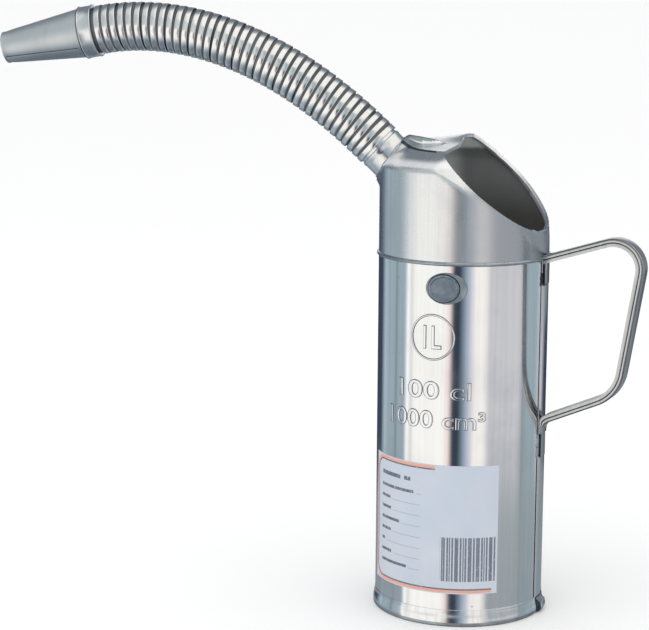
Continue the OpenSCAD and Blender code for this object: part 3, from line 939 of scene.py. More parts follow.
class JUG_OT_hood(bpy.types.Operator):
    """Raises the hood: wall, roof, deck, the seat of the spout and the slanted mouth with its hem"""

    bl_idname = "jug.hood"
    bl_label = "Hood"

    def execute(self, context):
        sizes, colours = context.scene.jug_sizes, context.scene.jug_colours
        crease_z = sizes.body_h + sizes.deck_h - sizes.roof_h
        # Along X, towards the mouth, the hood's colour is darkened as painted shade
        satin = sheet_metal(
            "satin_tin", colours.tin, (0.58, 0.61, 0.64), 0.24, 0.3, 1.0, 0.05, 0.25,
            painted_shade_x=(11 * MM, 22 * MM), frosted=(crease_z + 0.6 * MM, crease_z + 3.6 * MM))
        dark = hood_inside("oiled_hood", sizes, colours)
        dull_hem = film_and_shade("dull_hem", colours.hem, (0.36, 0.38, 0.43), 0.55)
        # A dark band of painted shade round the brim of the deck, and a painted dark reflection over the
        # ridge
        brim = grime_and_shade_metal("brim_line", (0.10, 0.125, 0.14), (0.07, 0.085, 0.10), 0.3)
        ridge_reflection = grime_and_shade_metal("ridge_film", (0.30, 0.37, 0.39), (0.20, 0.25, 0.27), 0.3)
        hood = spun("raised_hood", self.profile(sizes), 288, closed=False)
        # Every outer finish is followed by the one that the inner side of its sheet gets
        paint(hood, satin, dark, dull_hem, dark, brim, dark, ridge_reflection, dark)
        finish_faces(hood, lambda face: self.outer_finish(sizes, face.center, crease_z))
        self.shape(hood, sizes)
        self.cut_mouth(hood, sizes)
        self.fold_hem(hood, sizes)
        bead = self.seam_bead(sizes)
        spigot = self.spigot(sizes)
        # The bead's tin is darker than the hood's: painted shade
        paint(bead, sheet_metal("bead_tin", (0.50, 0.54, 0.57), (0.30, 0.34, 0.37), 0.28), dark)
        paint(spigot, satin, dark)
        finish_faces(spigot, lambda face: 1)
        hood = joined("raised_hood", [hood, bead, spigot])
        smooth(hood, 50)
        finish_piece(hood, "jug", "hood")
        return {"FINISHED"}

    def outer_finish(self, sizes, spot, crease_z):
        """The ridge over the deck gets a painted dark reflection, and the brim of the deck a dark band of
        painted shade.
        """
        if spot.z > crease_z and self.ridge(spot, sizes) > 0.24:
            return 6
        return 4 if -0.9 * MM < spot.xy.length - sizes.deck_r < 1.9 * MM else 0

    def profile(self, sizes):
        """Wall, crease, roof, brim and deck, from the seam up to the axis."""
        roof = math.atan2(sizes.roof_h, sizes.body_r - sizes.deck_r)
        deck_z = sizes.body_h + sizes.deck_h
        crease_z = deck_z - sizes.roof_h
        bend = math.pi / 2 - roof
        crease_back = sizes.crease_r * math.tan(bend / 2)
        brim_back = sizes.brim_r * math.tan(roof / 2)
        wall_top = crease_z - crease_back
        rows = 26
        points = [(sizes.body_r, sizes.body_h + (wall_top - sizes.body_h) * k / rows) for k in range(rows)]
        centre = (sizes.body_r - sizes.crease_r, wall_top)
        slant = math.hypot(sizes.roof_h, sizes.body_r - sizes.deck_r)
        points += arc(centre, sizes.crease_r, 0, math.degrees(bend - 4 * sizes.roof_swell / slant), 6)
        start = points[-1]
        end = (sizes.deck_r + brim_back * math.cos(roof), deck_z - brim_back * math.sin(roof))
        steps = 16
        for k in range(1, steps):
            done = k / steps
            swell = 4 * sizes.roof_swell * done * (1 - done)
            x = start[0] + (end[0] - start[0]) * done + swell * math.sin(roof)
            points.append((x, start[1] + (end[1] - start[1]) * done + swell * math.cos(roof)))
        centre = (sizes.deck_r - brim_back, deck_z - sizes.brim_r)
        points += arc(centre, sizes.brim_r, 90 - math.degrees(roof), 90, 4)
        rings = 18
        inner = points[-1][0]
        points += [(inner * (1 - k / rings), deck_z) for k in range(1, rings + 1)]
        return points

    def shape(self, hood, sizes):
        """Leans the wall in to the rim of the mouth and presses the flat seat of the ferrule."""
        mouth = Matrix.Translation((sizes.body_r, 0, sizes.body_h + sizes.mouth_h))
        mouth = mouth @ Matrix.Rotation(sizes.mouth_slope, 4, "Y")
        to_mouth = mouth.inverted()
        neck = neck_place(sizes) @ Matrix.Rotation(-sizes.joint_tilt, 4, "Y")
        to_neck = neck.inverted()
        lean = math.tan(sizes.rim_lean)
        soft = 1.2 * MM
        seat_r = sizes.ferrule_r + 0.9 * MM
        crease_z = sizes.body_h + sizes.deck_h - sizes.roof_h
        lip_y, lip_w = 17 * MM, 12 * MM
        lip_start, lip_run = -20 * MM, 13 * MM
        for vert in hood.data.vertices:
            share_up = unit((vert.co.z - crease_z) / sizes.roof_h)
            dip = sizes.deck_dip * (sizes.deck_r - vert.co.y) / (2 * sizes.deck_r)
            lip = sizes.lip_h * math.exp(-((vert.co.y - lip_y) / lip_w) ** 2)
            lip *= unit((vert.co.x - lip_start) / lip_run)
            vert.co.z += share_up * (lip - max(0.0, dip))
            vert.co.z += share_up * sizes.ridge_h * self.ridge(vert.co, sizes)
            spot = to_mouth @ vert.co
            flat = Vector((spot.x + sizes.rim_up, spot.y))
            limit = sizes.rim_r + max(-spot.z, 0.0) * lean
            reach = flat.length
            over = reach - limit
            if over > -soft:
                eased = limit if over > soft else reach - (over + soft) ** 2 / (4 * soft)
                flat *= eased / reach
                spot.x = flat.x - sizes.rim_up
                spot.y = flat.y
                vert.co = mouth @ spot
            spot = to_neck @ vert.co
            off = math.hypot(spot.x, spot.y)
            blend_r = 4.5 * MM if spot.z > 0 else 2.5 * MM
            if off < seat_r + blend_r and spot.z > -16 * MM:
                near = unit((seat_r + blend_r - off) / blend_r)
                near = near * near * (3 - 2 * near)
                spot.z *= 1 - near
                vert.co = neck @ spot

    def ridge(self, spot, sizes):
        """Share from 0 to 1 of the pointed ridge that runs from the seat of the spout over the deck."""
        spot = Matrix.Rotation(-sizes.spout_turn, 4, "Z") @ spot
        run = unit(1 - (spot.x + sizes.body_r - sizes.neck_in) / sizes.ridge_l)
        across = min(1.0, abs(spot.y) / (1 * MM + 6 * MM * run))
        return run ** 0.6 * (1 - across * across) ** 2

    def mouth_plane(self, sizes):
        """The lowest point of the mouth and the way that its plane faces."""
        low = Vector((sizes.body_r, 0, sizes.body_h + sizes.mouth_h))
        return low, Vector((math.sin(sizes.mouth_slope), 0, math.cos(sizes.mouth_slope)))

    def cut_mouth(self, hood, sizes):
        """Cuts the slanted mouth, and three lines below it for the step of the hem."""
        low, normal = self.mouth_plane(sizes)
        begin_edit(hood)
        bpy.ops.mesh.select_all(action="SELECT")
        bpy.ops.mesh.bisect(plane_co=low, plane_no=normal, clear_outer=True)
        for depth in (sizes.hem_w, sizes.hem_w + 0.12 * MM, sizes.hem_w + 0.9 * MM):
            bpy.ops.mesh.select_all(action="SELECT")
            bpy.ops.mesh.bisect(plane_co=low - normal * depth, plane_no=normal)
        tidy_mesh(0.004 * MM)
        end_edit()
        seam = Vector((0, 0, sizes.body_h))
        if sum(face.normal.dot(face.center - seam) for face in hood.data.polygons) < 0:
            hood.data.flip_normals()

    def fold_hem(self, hood, sizes):
        """Gives the sheet its thickness, and the rim its thicker folded hem."""
        low, normal = self.mouth_plane(sizes)
        hem = hood.vertex_groups.new(name="hem")
        inside = [v.index for v in hood.data.vertices if (v.co - low).dot(normal) > -sizes.hem_w - 0.02 * MM]
        hem.add(inside, 1.0, "REPLACE")
        apply_modifier(
            hood, "SOLIDIFY", thickness=sizes.hem_t, offset=-1.0, vertex_group="hem",
            thickness_vertex_group=sizes.sheet_t / sizes.hem_t, material_offset=1, material_offset_rim=0,
            use_even_offset=True)
        band = sizes.hem_w + 0.9 * MM
        for face in hood.data.polygons:
            if (face.center - low).dot(normal) > -band:
                face.material_index = 2 * (face.material_index % 2)
        round_edges(hood, 0.28 * MM, 3, 55)

    def seam_bead(self, sizes):
        """The bead that stands out along the seam."""
        z, bead, inner = sizes.body_h, sizes.bead_r, sizes.body_r - sizes.sheet_t
        profile = arc((sizes.body_r, z), bead, -90, 90, 10) + [(inner, z + bead), (inner, z - bead)]
        return spun("seam_bead", profile, 192)

    def spigot(self, sizes):
        """The end of the hood that sits inside the body."""
        fit = 0.05 * MM
        outer = sizes.body_r - sizes.sheet_t - fit
        low, top = sizes.body_h - 7 * MM, sizes.body_h + sizes.sheet_t
        inner = outer - sizes.sheet_t
        return spun("spigot", oblong(inner, outer, low, top), 128)


class JUG_OT_neck(bpy.types.Operator):
    """Makes the ferrule of the spout and the bead of solder round its foot"""

    bl_idname = "jug.neck"
    bl_label = "Ferrule and neck solder"

    def execute(self, context):
        sizes, colours = context.scene.jug_sizes, context.scene.jug_colours
        place = neck_place(sizes)
        half_gap = (sizes.rib_pitch - sizes.rib_w) / 2
        end = sizes.ferrule_l - half_gap
        outer, inner = sizes.ferrule_r, sizes.tube_r - 0.1 * MM
        edge = 0.4 * MM
        profile = [(inner, -4 * MM), (outer, -4 * MM), (outer, 2.0 * MM), (outer, 4.0 * MM)]
        raised = outer + 0.22 * MM
        profile += [(outer, end - 2.3 * MM), (raised, end - 1.5 * MM), (raised, end - edge)]
        profile += arc((outer - edge, end - edge), edge + 0.1 * MM, 10, 90, 4)
        tube_in = sizes.tube_r - 0.45 * MM
        tail = end + half_gap + sizes.tube_reach
        profile += [(sizes.tube_r, end), (sizes.tube_r, tail), (tube_in, tail)]
        profile += [(tube_in, end - sizes.sheet_t), (inner, end - 2 * sizes.sheet_t)]
        ferrule = spun("smooth_ferrule", profile, 128)
        put(ferrule, place)
        paint(ferrule, sheet_metal("ferrule_tin", colours.tin, colours.tin_dull, 0.13, 0.4))
        smooth(ferrule, 40)
        finish_piece(ferrule, "jug", "neck_ferrule")
        bead = self.solder_bead(sizes)
        put(bead, place @ Matrix.Rotation(-sizes.joint_tilt, 4, "Y"))
        paint(bead, soft_solder("neck_solder_metal", colours.solder, (0.25, 0.28, 0.31), 0.22))
        smooth(bead, 60)
        finish_piece(bead, "jug", "neck_solder")
        return {"FINISHED"}

    def solder_bead(self, sizes):
        """A fillet of solder, thicker at its lower side, with an uneven edge."""
        deselect_all()
        middle = sizes.ferrule_r + 0.15 * MM
        bpy.ops.mesh.primitive_torus_add(
            major_radius=middle, minor_radius=0.62 * MM, major_segments=120, minor_segments=12)
        bead = named("solder_fillet")
        for vert in bead.data.vertices:
            a = math.atan2(vert.co.y, vert.co.x)
            uneven = 0.18 * math.sin(3 * a + 0.6) + 0.14 * math.sin(7 * a + 1.9) + 0.09 * math.sin(13 * a)
            low_side = 0.5 - 0.5 * math.cos(a)
            swell = 0.75 + 0.35 * low_side + uneven
            flat = vert.co.xy
            centre = flat.normalized() * middle
            vert.co.xy = centre + (flat - centre) * swell
            vert.co.z = vert.co.z * swell + 0.12 * MM
        return bead


class JUG_OT_spout(bpy.types.Operator):
    """Winds the bendable spout: thirteen links of three ribs each over a sliding tube"""

    bl_idname = "jug.spout"
    bl_label = "Wound spout"

    def execute(self, context):
        sizes, colours = context.scene.jug_sizes, context.scene.jug_colours
        crown = sheet_metal(
            "wound_strip", colours.strip, colours.tin_dull, 0.13, 0.2, 0.5, 0.01, 0.12)
        # The grooves, the shoulders below the crowns and the feet of the ribs are painted dark: painted
        # shade
        groove = grime_and_shade_metal("groove_grime", colours.groove, (0.12, 0.12, 0.13), 0.4)
        foot = film_and_shade("foot_grime", (0.125, 0.13, 0.135), (0.085, 0.09, 0.095), 0.5)
        finishes = (crown, groove, foot)
        patterns = [self.rib("socket_rib", sizes, finishes, socket=True)]
        patterns.append(self.rib("footed_rib", sizes, finishes, footed=True))
        patterns.append(self.rib("plain_rib", sizes, finishes))
        for i in range(LINKS):
            parts = [self.tube(sizes, i, crown, groove)]
            for k in range(RIBS_PER_LINK):
                rib = copy_of(patterns[k], "rib_%d_%d" % (i, k))
                along = (k + 0.5) / RIBS_PER_LINK
                put(rib, link_place(sizes, i, along) @ Matrix.Rotation(-rib_lean(sizes, i, k), 4, "Y"))
                parts.append(rib)
            link = joined("wound_link_%02d" % (i + 1), parts)
            finish_piece(link, "link_%02d" % (i + 1), "spout_link_%02d" % (i + 1))
        for pattern in patterns:
            bpy.data.objects.remove(pattern)
        return {"FINISHED"}

    def rib(self, name, sizes, finishes, socket=False, footed=False):
        """A rib of the wound strip with round shoulders. A socket is hollow, a foot fills both grooves."""
        half = sizes.crown_w / 2
        root = sizes.tube_r - 0.3 * MM
        inner = sizes.tube_r + 0.45 * MM if socket else root
        foot_r, foot_z = sizes.rib_r - 0.62 * MM, half + 1.35 * MM
        shoulder = 0.42 * MM
        crown = sizes.rib_r
        profile = [(inner, -half + 0.1 * MM)]
        if footed:
            profile = [(root, -foot_z), (foot_r, -foot_z), (foot_r + 0.02 * MM, -half)]
        else:
            profile += [(max(crown - shoulder - 0.4 * MM, inner + 0.03 * MM), -half)]
        profile += [(r, z) for z, r in arc((-half + shoulder, crown - shoulder), shoulder, 180, 90, 4)]
        profile += [(crown, 0)]
        profile += [(r, z) for z, r in arc((half - shoulder, crown - shoulder), shoulder, 90, 0, 4)]
        if footed:
            profile += [(foot_r + 0.02 * MM, half), (foot_r, foot_z), (root, foot_z)]
        else:
            profile += [(crown - shoulder - 0.4 * MM, half), (root, half - 0.1 * MM)]
        if socket:
            profile += [(root, half - 0.5 * MM), (inner, half - 0.5 * MM)]
        rib = spun(name, profile, 72)
        paint(rib, *finishes)
        # Faces below the crown, the lower shoulders too, get the dark groove finish: painted shade
        bright_r = crown - shoulder * 0.8
        finish_faces(rib, lambda face: 0 if face.center.xy.length > bright_r else 1)
        if footed:
            finish_faces(rib, lambda face: 2 if abs(face.center.z) > half else face.material_index)
        smooth(rib, 45)
        return rib

    def tube(self, sizes, i, crown, groove):
        """The tube inside the ribs of a link, bent like the link, as the floor of its grooves."""
        link_l = RIBS_PER_LINK * sizes.rib_pitch
        bend = link_bend(sizes, i)
        start = (sizes.rib_pitch + sizes.rib_w) / 2 - 0.3 * MM
        end = link_l + sizes.tube_reach
        radius = link_l / bend
        outer, inner = sizes.tube_r, sizes.tube_r - 0.5 * MM
        deselect_all()
        bpy.ops.mesh.primitive_circle_add(vertices=64, radius=outer, location=(0, 0, 0))
        tube = named("tube_%02d" % (i + 1))
        begin_edit(tube)
        bpy.ops.mesh.extrude_region_move(TRANSFORM_OT_translate={"value": (0, 0, 0)})
        bpy.ops.transform.resize(value=(inner / outer, inner / outer, 1))
        bpy.ops.mesh.select_all(action="SELECT")
        end_edit()
        to_axis = Matrix.Translation((radius, 0, 0))
        put(tube, to_axis.inverted() @ Matrix.Rotation(-start / radius, 4, "Y") @ to_axis)
        begin_edit(tube)
        bpy.ops.mesh.select_all(action="SELECT")
        bpy.ops.mesh.spin(steps=8, angle=(end - start) / radius, center=(-radius, 0, 0), axis=(0, 1, 0))
        tidy_mesh(0.002 * MM)
        end_edit()
        for vert in tube.data.vertices:
            turned = math.atan2(vert.co.z, vert.co.x + radius)
            off = math.hypot(vert.co.x + radius, vert.co.z) - radius
            near = max(0.0, 1 - (turned * radius - start) / (3 * MM))
            far = max(0.0, 1 - (end - turned * radius) / (3 * MM))
            shift = off * (near * math.tan(rib_lean(sizes, i, 0)) + far * math.tan(rib_lean(sizes, i, 2)))
            vert.co += Vector((-math.sin(turned), 0, math.cos(turned))) * shift
        paint(tube, crown, groove)
        # The whole tube gets the dark groove finish: painted shade
        finish_faces(tube, lambda face: 1)
        smooth(tube, 40)
        put(tube, link_place(sizes, i))
        return tube


class JUG_OT_nozzle(bpy.types.Operator):
    """Makes the collar and the tapered nozzle with its lap seam"""

    bl_idname = "jug.nozzle"
    bl_label = "Nozzle"

    def execute(self, context):
        sizes, colours = context.scene.jug_sizes, context.scene.jug_colours
        place = link_place(sizes, LINKS)
        half_gap = (sizes.rib_pitch - sizes.rib_w) / 2
        base = half_gap + sizes.collar_l
        collar_end = base - 1.5 * MM
        collar = self.collar(sizes, half_gap + 0.3 * MM, collar_end)
        # The end of the collar next to the cone is a dark line
        line = grime_and_shade_metal("collar_grime", (0.16, 0.19, 0.21), (0.07, 0.08, 0.09), 0.4)
        paint(collar, sheet_metal("collar_tin", colours.tin, colours.nozzle, 0.2, 0.6), line)
        finish_faces(collar, lambda face: 1 if face.center.z > collar_end - 0.62 * MM else 0)
        put(collar, place)
        smooth(collar, 40)
        finish_piece(collar, "link_13", "nozzle_collar")
        cone = self.cone(sizes, half_gap, base)
        seam = self.lap_strip(sizes, base, "nozzle_lap", -139, 24, 0.3 * MM)
        round_edges(seam, 0.14 * MM, 2, 50)
        dull = tuple(shade * 0.8 for shade in colours.nozzle)
        tin = sheet_metal("nozzle_tin", colours.nozzle, dull, 0.40, 0.2, 1.0, 0.05, 0.5)
        # Dark metal for thin lines along the lap: painted shade at its edges
        painted_shade = grime_and_shade_metal("lap_grime", (0.12, 0.13, 0.15), (0.05, 0.05, 0.06), 0.5)
        parts = [cone, seam]
        for part in parts:
            paint(part, tin, painted_shade)
        # Thin dark strips along the lap's edges: painted shade
        for angle, wide in ((-127, 3.6), (-151, 2.4)):
            line = self.lap_strip(sizes, base, "lap_line", angle, wide, 0.1 * MM)
            paint(line, tin, painted_shade)
            finish_faces(line, lambda face: 1)
            parts.append(line)
        cone = joined("tapered_nozzle", parts)
        put(cone, place)
        smooth(cone, 40)
        finish_piece(cone, "link_13", "nozzle_cone")
        return {"FINISHED"}

    def collar(self, sizes, low, top):
        """A rolled band with a raised edge at both ends."""
        inner = sizes.nozzle_r + 0.05 * MM
        edge = 0.45 * MM
        body = sizes.collar_r - 0.28 * MM
        socket = sizes.tube_r + 0.4 * MM
        profile = [(socket, low), (sizes.collar_r - edge, low)]
        profile += arc((sizes.collar_r - edge, low + edge), edge, -60, 60, 5)
        profile += [(body, low + 2.2 * edge), (body, (low + top) / 2), (body, top - 2.6 * edge)]
        profile += arc((sizes.collar_r - edge, top - edge), edge, -60, 80, 5)
        profile += [(inner, top - 0.1 * MM), (inner, low + sizes.sheet_t), (socket, low + sizes.sheet_t)]
        return spun("rolled_collar", profile, 128)

    def cone(self, sizes, half_gap, base):
        """The tapered tube, open at its tip."""
        root = half_gap + 2 * sizes.sheet_t + sizes.tube_reach / 2
        wide, tip, sheet = sizes.nozzle_r, sizes.tip_r, sizes.sheet_t
        end = base + sizes.nozzle_l
        lip = 0.3 * MM
        profile = [(wide - sheet, root), (wide, root), (wide, base)]
        profile += [(wide + (tip - wide) * k / 8, base + sizes.nozzle_l * k / 8) for k in range(1, 8)]
        profile += [(tip, end - 1.6 * MM), (tip + 0.12 * MM, end - 1.0 * MM)]
        profile += arc((tip - sheet / 2, end - lip), lip + 0.05 * MM, 0, 180, 6)
        profile += [(tip - sheet, end - 1.6 * MM), (wide - sheet, base)]
        return spun("tapered_nozzle", profile, 128)

    def lap_strip(self, sizes, base, name, angle, wide, rise):
        """A thin strip along the cone, which tapers with it. Its place and width are in degrees."""
        sunk = 0.3 * MM
        root, tip = sizes.nozzle_r, sizes.tip_r
        end = base + sizes.nozzle_l - 1.4 * MM
        tip_now = tip + (root - tip) * 1.4 * MM / sizes.nozzle_l
        start = base + 0.1 * MM
        loop = [(root - sunk, start), (root + rise, start), (tip_now + rise, end), (tip_now - sunk, end)]
        return swept_part(name, loop, math.radians(angle), math.radians(wide), max(3, int(wide / 2.4)))


class JUG_OT_handle(bpy.types.Operator):
    """Folds the handle strip into its channel and solders its tails to the side seam"""

    bl_idname = "jug.handle"
    bl_label = "Handle"

    def execute(self, context):
        sizes, colours = context.scene.jug_sizes, context.scene.jug_colours
        line = Handle(sizes)
        tin = sheet_metal("handle_tin", colours.handle, (0.42, 0.44, 0.47), 0.24, 0.5, 0.8, 0.03)
        # The floor of the side grooves and the cut edges are near black, and the folded edges darker:
        # painted shade
        painted_shade = grime_and_shade_metal("handle_grime", (0.08, 0.085, 0.09), (0.04, 0.04, 0.05), 0.4)
        fold = grime_and_shade_metal("handle_fold", (0.26, 0.27, 0.29), (0.14, 0.15, 0.17), 0.3)
        strip = self.strip(sizes, line, (tin, painted_shade, fold))
        smooth(strip, 40)
        finish_piece(strip, "jug", "handle_strip")
        metal = soft_solder("tail_solder_metal", colours.solder, (0.3, 0.33, 0.36), 0.2)
        # The upper solder patch is near black: a painted shadow beside the upper tail
        flux = soft_solder("flux_stained_solder", (0.12, 0.12, 0.13), (0.04, 0.04, 0.05), 0.4)
        low_top = line.points[0].y
        high_top = line.points[1].y - sizes.root_top_r - sizes.grip_depth
        low_foot = line.points[5].y
        high_foot = line.points[4].y - sizes.root_low_r + sizes.grip_depth / 2
        for name, node, low, high, finish in (
                ("solder_upper", "handle_top_solder", low_top, high_top, flux),
                ("solder_lower", "handle_low_solder", low_foot, high_foot, metal)):
            patch = self.solder_patch(name, sizes, low, high)
            paint(patch, finish)
            smooth(patch, 60)
            finish_piece(patch, "jug", node)
        return {"FINISHED"}

    def section(self, sizes):
        """The channel's outer line as (across the strip, towards the outer side) points."""
        half_w, half_d, fold = sizes.grip_w / 2, sizes.grip_depth / 2, sizes.fold_r
        left = arc((-half_w + fold, half_d - fold), fold, 180, 90, 5)
        right = arc((half_w - fold, half_d - fold), fold, 90, 0, 5)
        groove = [(0.0, -0.45), (0.28, -0.3), (0.28, 0.1), (0.0, 0.25)]
        down = [(-half_w + deep * MM, high * MM) for deep, high in groove]
        back = [(half_w - deep * MM, high * MM) for deep, high in reversed(groove)]
        return [(-half_w, -half_d)] + down + left + right + back + [(half_w, -half_d)]

    def strip(self, sizes, line, finishes):
        """Sweeps the channel along the arms and the grip, and only its flat web along the tails."""
        start, outward = line.leg_start(1), line.outward(1)
        points = [flat_to_space(start + outward * high, y) for y, high in self.section(sizes)]
        strip = drawn_line("folded_handle", points)
        for leg in (1, 2, 3):
            step = flat_to_space(line.along(leg) * line.straight(leg))
            bpy.ops.mesh.extrude_region_move(TRANSFORM_OT_translate={"value": step})
            if leg < 3:
                self.turn_corner(line, leg + 1, 18)
        web = sizes.grip_w / 2 - sizes.fold_r + 0.01 * MM
        self.turn_corner(line, 4, 12)
        self.choose_web(strip, flat_to_space(line.leg_start(4)), line.along(4), web)
        step = flat_to_space(line.along(4) * line.straight(4))
        bpy.ops.mesh.extrude_region_move(TRANSFORM_OT_translate={"value": step})
        self.choose_web(strip, flat_to_space(start), line.along(1), web)
        self.turn_corner(line, 1, 8, back=True)
        step = flat_to_space(-line.along(0) * line.straight(0))
        bpy.ops.mesh.extrude_region_move(TRANSFORM_OT_translate={"value": step})
        wall = sizes.body_r + sizes.lap_t
        self.grow_flanges(strip, flat_to_space(start), flat_to_space(line.along(1)), web, wall)
        tidy_mesh(0.002 * MM)
        end_edit()
        self.fit_flanges(strip, line.corner_centre(4), sizes)
        middle = Vector((sizes.body_r + sizes.reach_low / 2, 0, sizes.body_h - sizes.arm_gap / 2))
        if sum((face.center - middle).dot(face.normal) * face.area for face in strip.data.polygons) < 0:
            strip.data.flip_normals()
        paint(strip, *finishes)
        finish_faces(strip, lambda face: self.strip_finish(sizes, face, web))
        # The cut edges of the strip get the dark groove finish: painted shade
        apply_modifier(
            strip, "SOLIDIFY", thickness=sizes.grip_t, offset=-1.0, use_even_offset=True,
            material_offset_rim=1)
        round_edges(strip, 0.2 * MM, 2, 60)
        return strip

    def strip_finish(self, sizes, face, web):
        """The floor of the side grooves is painted dark, and the folded edges are painted darker: painted
        shade.
        """
        level, off = abs(face.normal.y), abs(face.center.y)
        if level > 0.995 and web < off < sizes.grip_w / 2 - 0.2 * MM:
            return 1
        return 2 if 0.55 < level < 0.95 and off > web else 0

    def grow_flanges(self, strip, spot, way, web, wall):
        """Carries the folded sides of the channel straight on from one end to the wall."""

        def at_side(edge):
            level = all(abs((vert.co - spot).dot(way)) < 0.02 * MM for vert in edge.verts)
            return level and max(abs(vert.co.y) for vert in edge.verts) > web

        bpy.ops.mesh.select_mode(type="EDGE")
        choose(strip, "edges", at_side)
        bpy.ops.mesh.extrude_region_move(TRANSFORM_OT_translate={"value": -way * MM})
        bpy.ops.mesh.select_mode(type="VERT")
        mesh = bmesh.from_edit_mesh(strip.data)
        for vert in mesh.verts:
            if vert.select:
                vert.co += way * ((wall - vert.co.x) / way.x)
        bmesh.update_edit_mesh(strip.data)

    def fit_flanges(self, strip, centre, sizes):
        """Lowers the folded sides round the lower root, so that they end on the wall."""
        web_r = sizes.root_low_r - sizes.grip_depth / 2
        gap = centre.x - sizes.body_r - sizes.lap_t
        for vert in strip.data.vertices:
            off = Vector((vert.co.x - centre.x, vert.co.z - centre.y))
            around = math.atan2(off.y, -off.x)
            deep = off.length - web_r
            if -0.01 < around < 1.1 and 0.05 * MM < deep < sizes.grip_depth * 1.05:
                room = min(sizes.grip_depth, gap / math.cos(around) - web_r)
                off *= (web_r + deep * room / sizes.grip_depth) / off.length
                vert.co.x = centre.x + off.x
                vert.co.z = centre.y + off.y

    def turn_corner(self, line, corner, steps, back=False):
        angle = line.corner_turn(corner)
        centre = flat_to_space(line.corner_centre(corner))
        bpy.ops.mesh.spin(steps=steps, angle=-angle if back else angle, center=centre, axis=(0, 1, 0))

    def choose_web(self, strip, spot, direction, web):
        """Selects the edges of the flat web at one end of the channel."""
        way = flat_to_space(direction)

        def at_end(edge):
            middle = (edge.verts[0].co + edge.verts[1].co) / 2
            flat = all(abs(vert.co.y) <= web for vert in edge.verts)
            level = all(abs((vert.co - spot).dot(way)) < 0.02 * MM for vert in edge.verts)
            return level and flat and (middle - spot).length < 12 * MM

        bpy.ops.mesh.select_mode(type="EDGE")
        choose(strip, "edges", at_end)
        bpy.ops.mesh.select_mode(type="VERT")

    def solder_patch(self, name, sizes, low, high):
        """A thin uneven pool of solder on the wall round a tail."""
        deselect_all()
        wide = sizes.grip_w + 2.6 * MM
        tall = high - low + 1.4 * MM
        upright = (math.pi / 2, 0, 0)
        bpy.ops.mesh.primitive_grid_add(x_subdivisions=26, y_subdivisions=26, size=1, rotation=upright)
        patch = named(name)
        put(patch, Matrix.Diagonal((wide, 1, tall, 1)) @ Matrix.Rotation(math.pi / 2, 4, "X"))
        for vert in patch.data.vertices:
            u, v = vert.co.x / (wide / 2), vert.co.z / (tall / 2)
            edge = 1 + 0.05 * math.sin(9 * math.atan2(v, u)) + 0.03 * math.sin(17 * math.atan2(v, u) + 1)
            round_off = max(0.0, 1 - (abs(u) ** 4 + abs(v) ** 4) ** 0.5)
            vert.co.x *= edge
            vert.co.z *= edge
            vert.co.y = -(0.12 + 0.72 * round_off ** 0.35) * MM
        apply_modifier(patch, "SOLIDIFY", thickness=0.3 * MM, offset=-1.0)
        wrap_round(patch, sizes.body_r, math.pi / 2, (low + high) / 2 - 0.5 * MM)
        return patch


class JUG_OT_seal(bpy.types.Operator):
    """Sets the oval seal of solder below the seam"""

    bl_idname = "jug.seal"
    bl_label = "Solder seal"

    def execute(self, context):
        sizes, colours = context.scene.jug_sizes, context.scene.jug_colours
        metal = soft_solder("seal_metal", colours.seal, (0.30, 0.35, 0.40), 0.34, 0.12)
        dark = soft_solder("stamp_metal", colours.stamp, (0.34, 0.40, 0.46), 0.36, 0.16)
        # The flanks of both discs get a near-black metal: painted shade
        line = grime_and_shade_metal("stamp_edge", (0.05, 0.06, 0.08), (0.03, 0.03, 0.04), 0.5)
        blob = self.disc("seal_base", sizes.seal_w, sizes.seal_h, 0.0, (0.32, 0.5))
        stamp = self.disc("seal_stamp", sizes.stamp_w, sizes.stamp_h, -1.3 * MM, (0.5, 1.02))
        for disc, flat in ((blob, 0), (stamp, 1)):
            paint(disc, metal, dark, line)
            finish_faces(disc, lambda face: flat if abs(face.normal.y) > 0.9 else 2)
        begin_edit(stamp)
        top = -1.0 * MM
        choose(stamp, "faces", lambda face: face.normal.y < -0.9 and face.calc_center_median().y < top)
        bpy.ops.mesh.inset(thickness=1.1 * MM, depth=0)
        bpy.ops.mesh.inset(thickness=0.35 * MM, depth=-0.35 * MM)
        end_edit()
        seal = joined("stamped_seal", [blob, stamp])
        round_edges(seal, 0.14 * MM, 2, 40)
        apply_modifier(seal, "TRIANGULATE")
        wrap_round(seal, sizes.body_r + 0.02 * MM, sizes.seal_angle, sizes.seal_z)
        smooth(seal, 40)
        finish_piece(seal, "jug", "solder_seal")
        return {"FINISHED"}

    def disc(self, name, wide, tall, shift, levels):
        """A flat oval disc with a sloped edge, facing -Y."""
        deselect_all()
        bpy.ops.mesh.primitive_circle_add(
            vertices=64, radius=tall / 2, fill_type="NGON", location=(0, 0, 0), rotation=(math.pi / 2, 0, 0))
        disc = named(name)
        put(disc, Matrix.Rotation(math.pi / 2, 4, "X"))
        begin_edit(disc)
        low, high = levels
        bpy.ops.mesh.select_all(action="SELECT")
        bpy.ops.transform.resize(value=(wide / tall, 1, 1))
        bpy.ops.mesh.extrude_region_move(TRANSFORM_OT_translate={"value": (0, -low * MM, 0)})
        bpy.ops.mesh.inset(thickness=0.5 * MM, depth=0)
        bpy.ops.transform.translate(value=(0, -(high - low) * MM, 0))
        tidy_mesh(0.002 * MM)
        end_edit()
        put(disc, Matrix.Translation((shift, 0, 0)))
        return disc


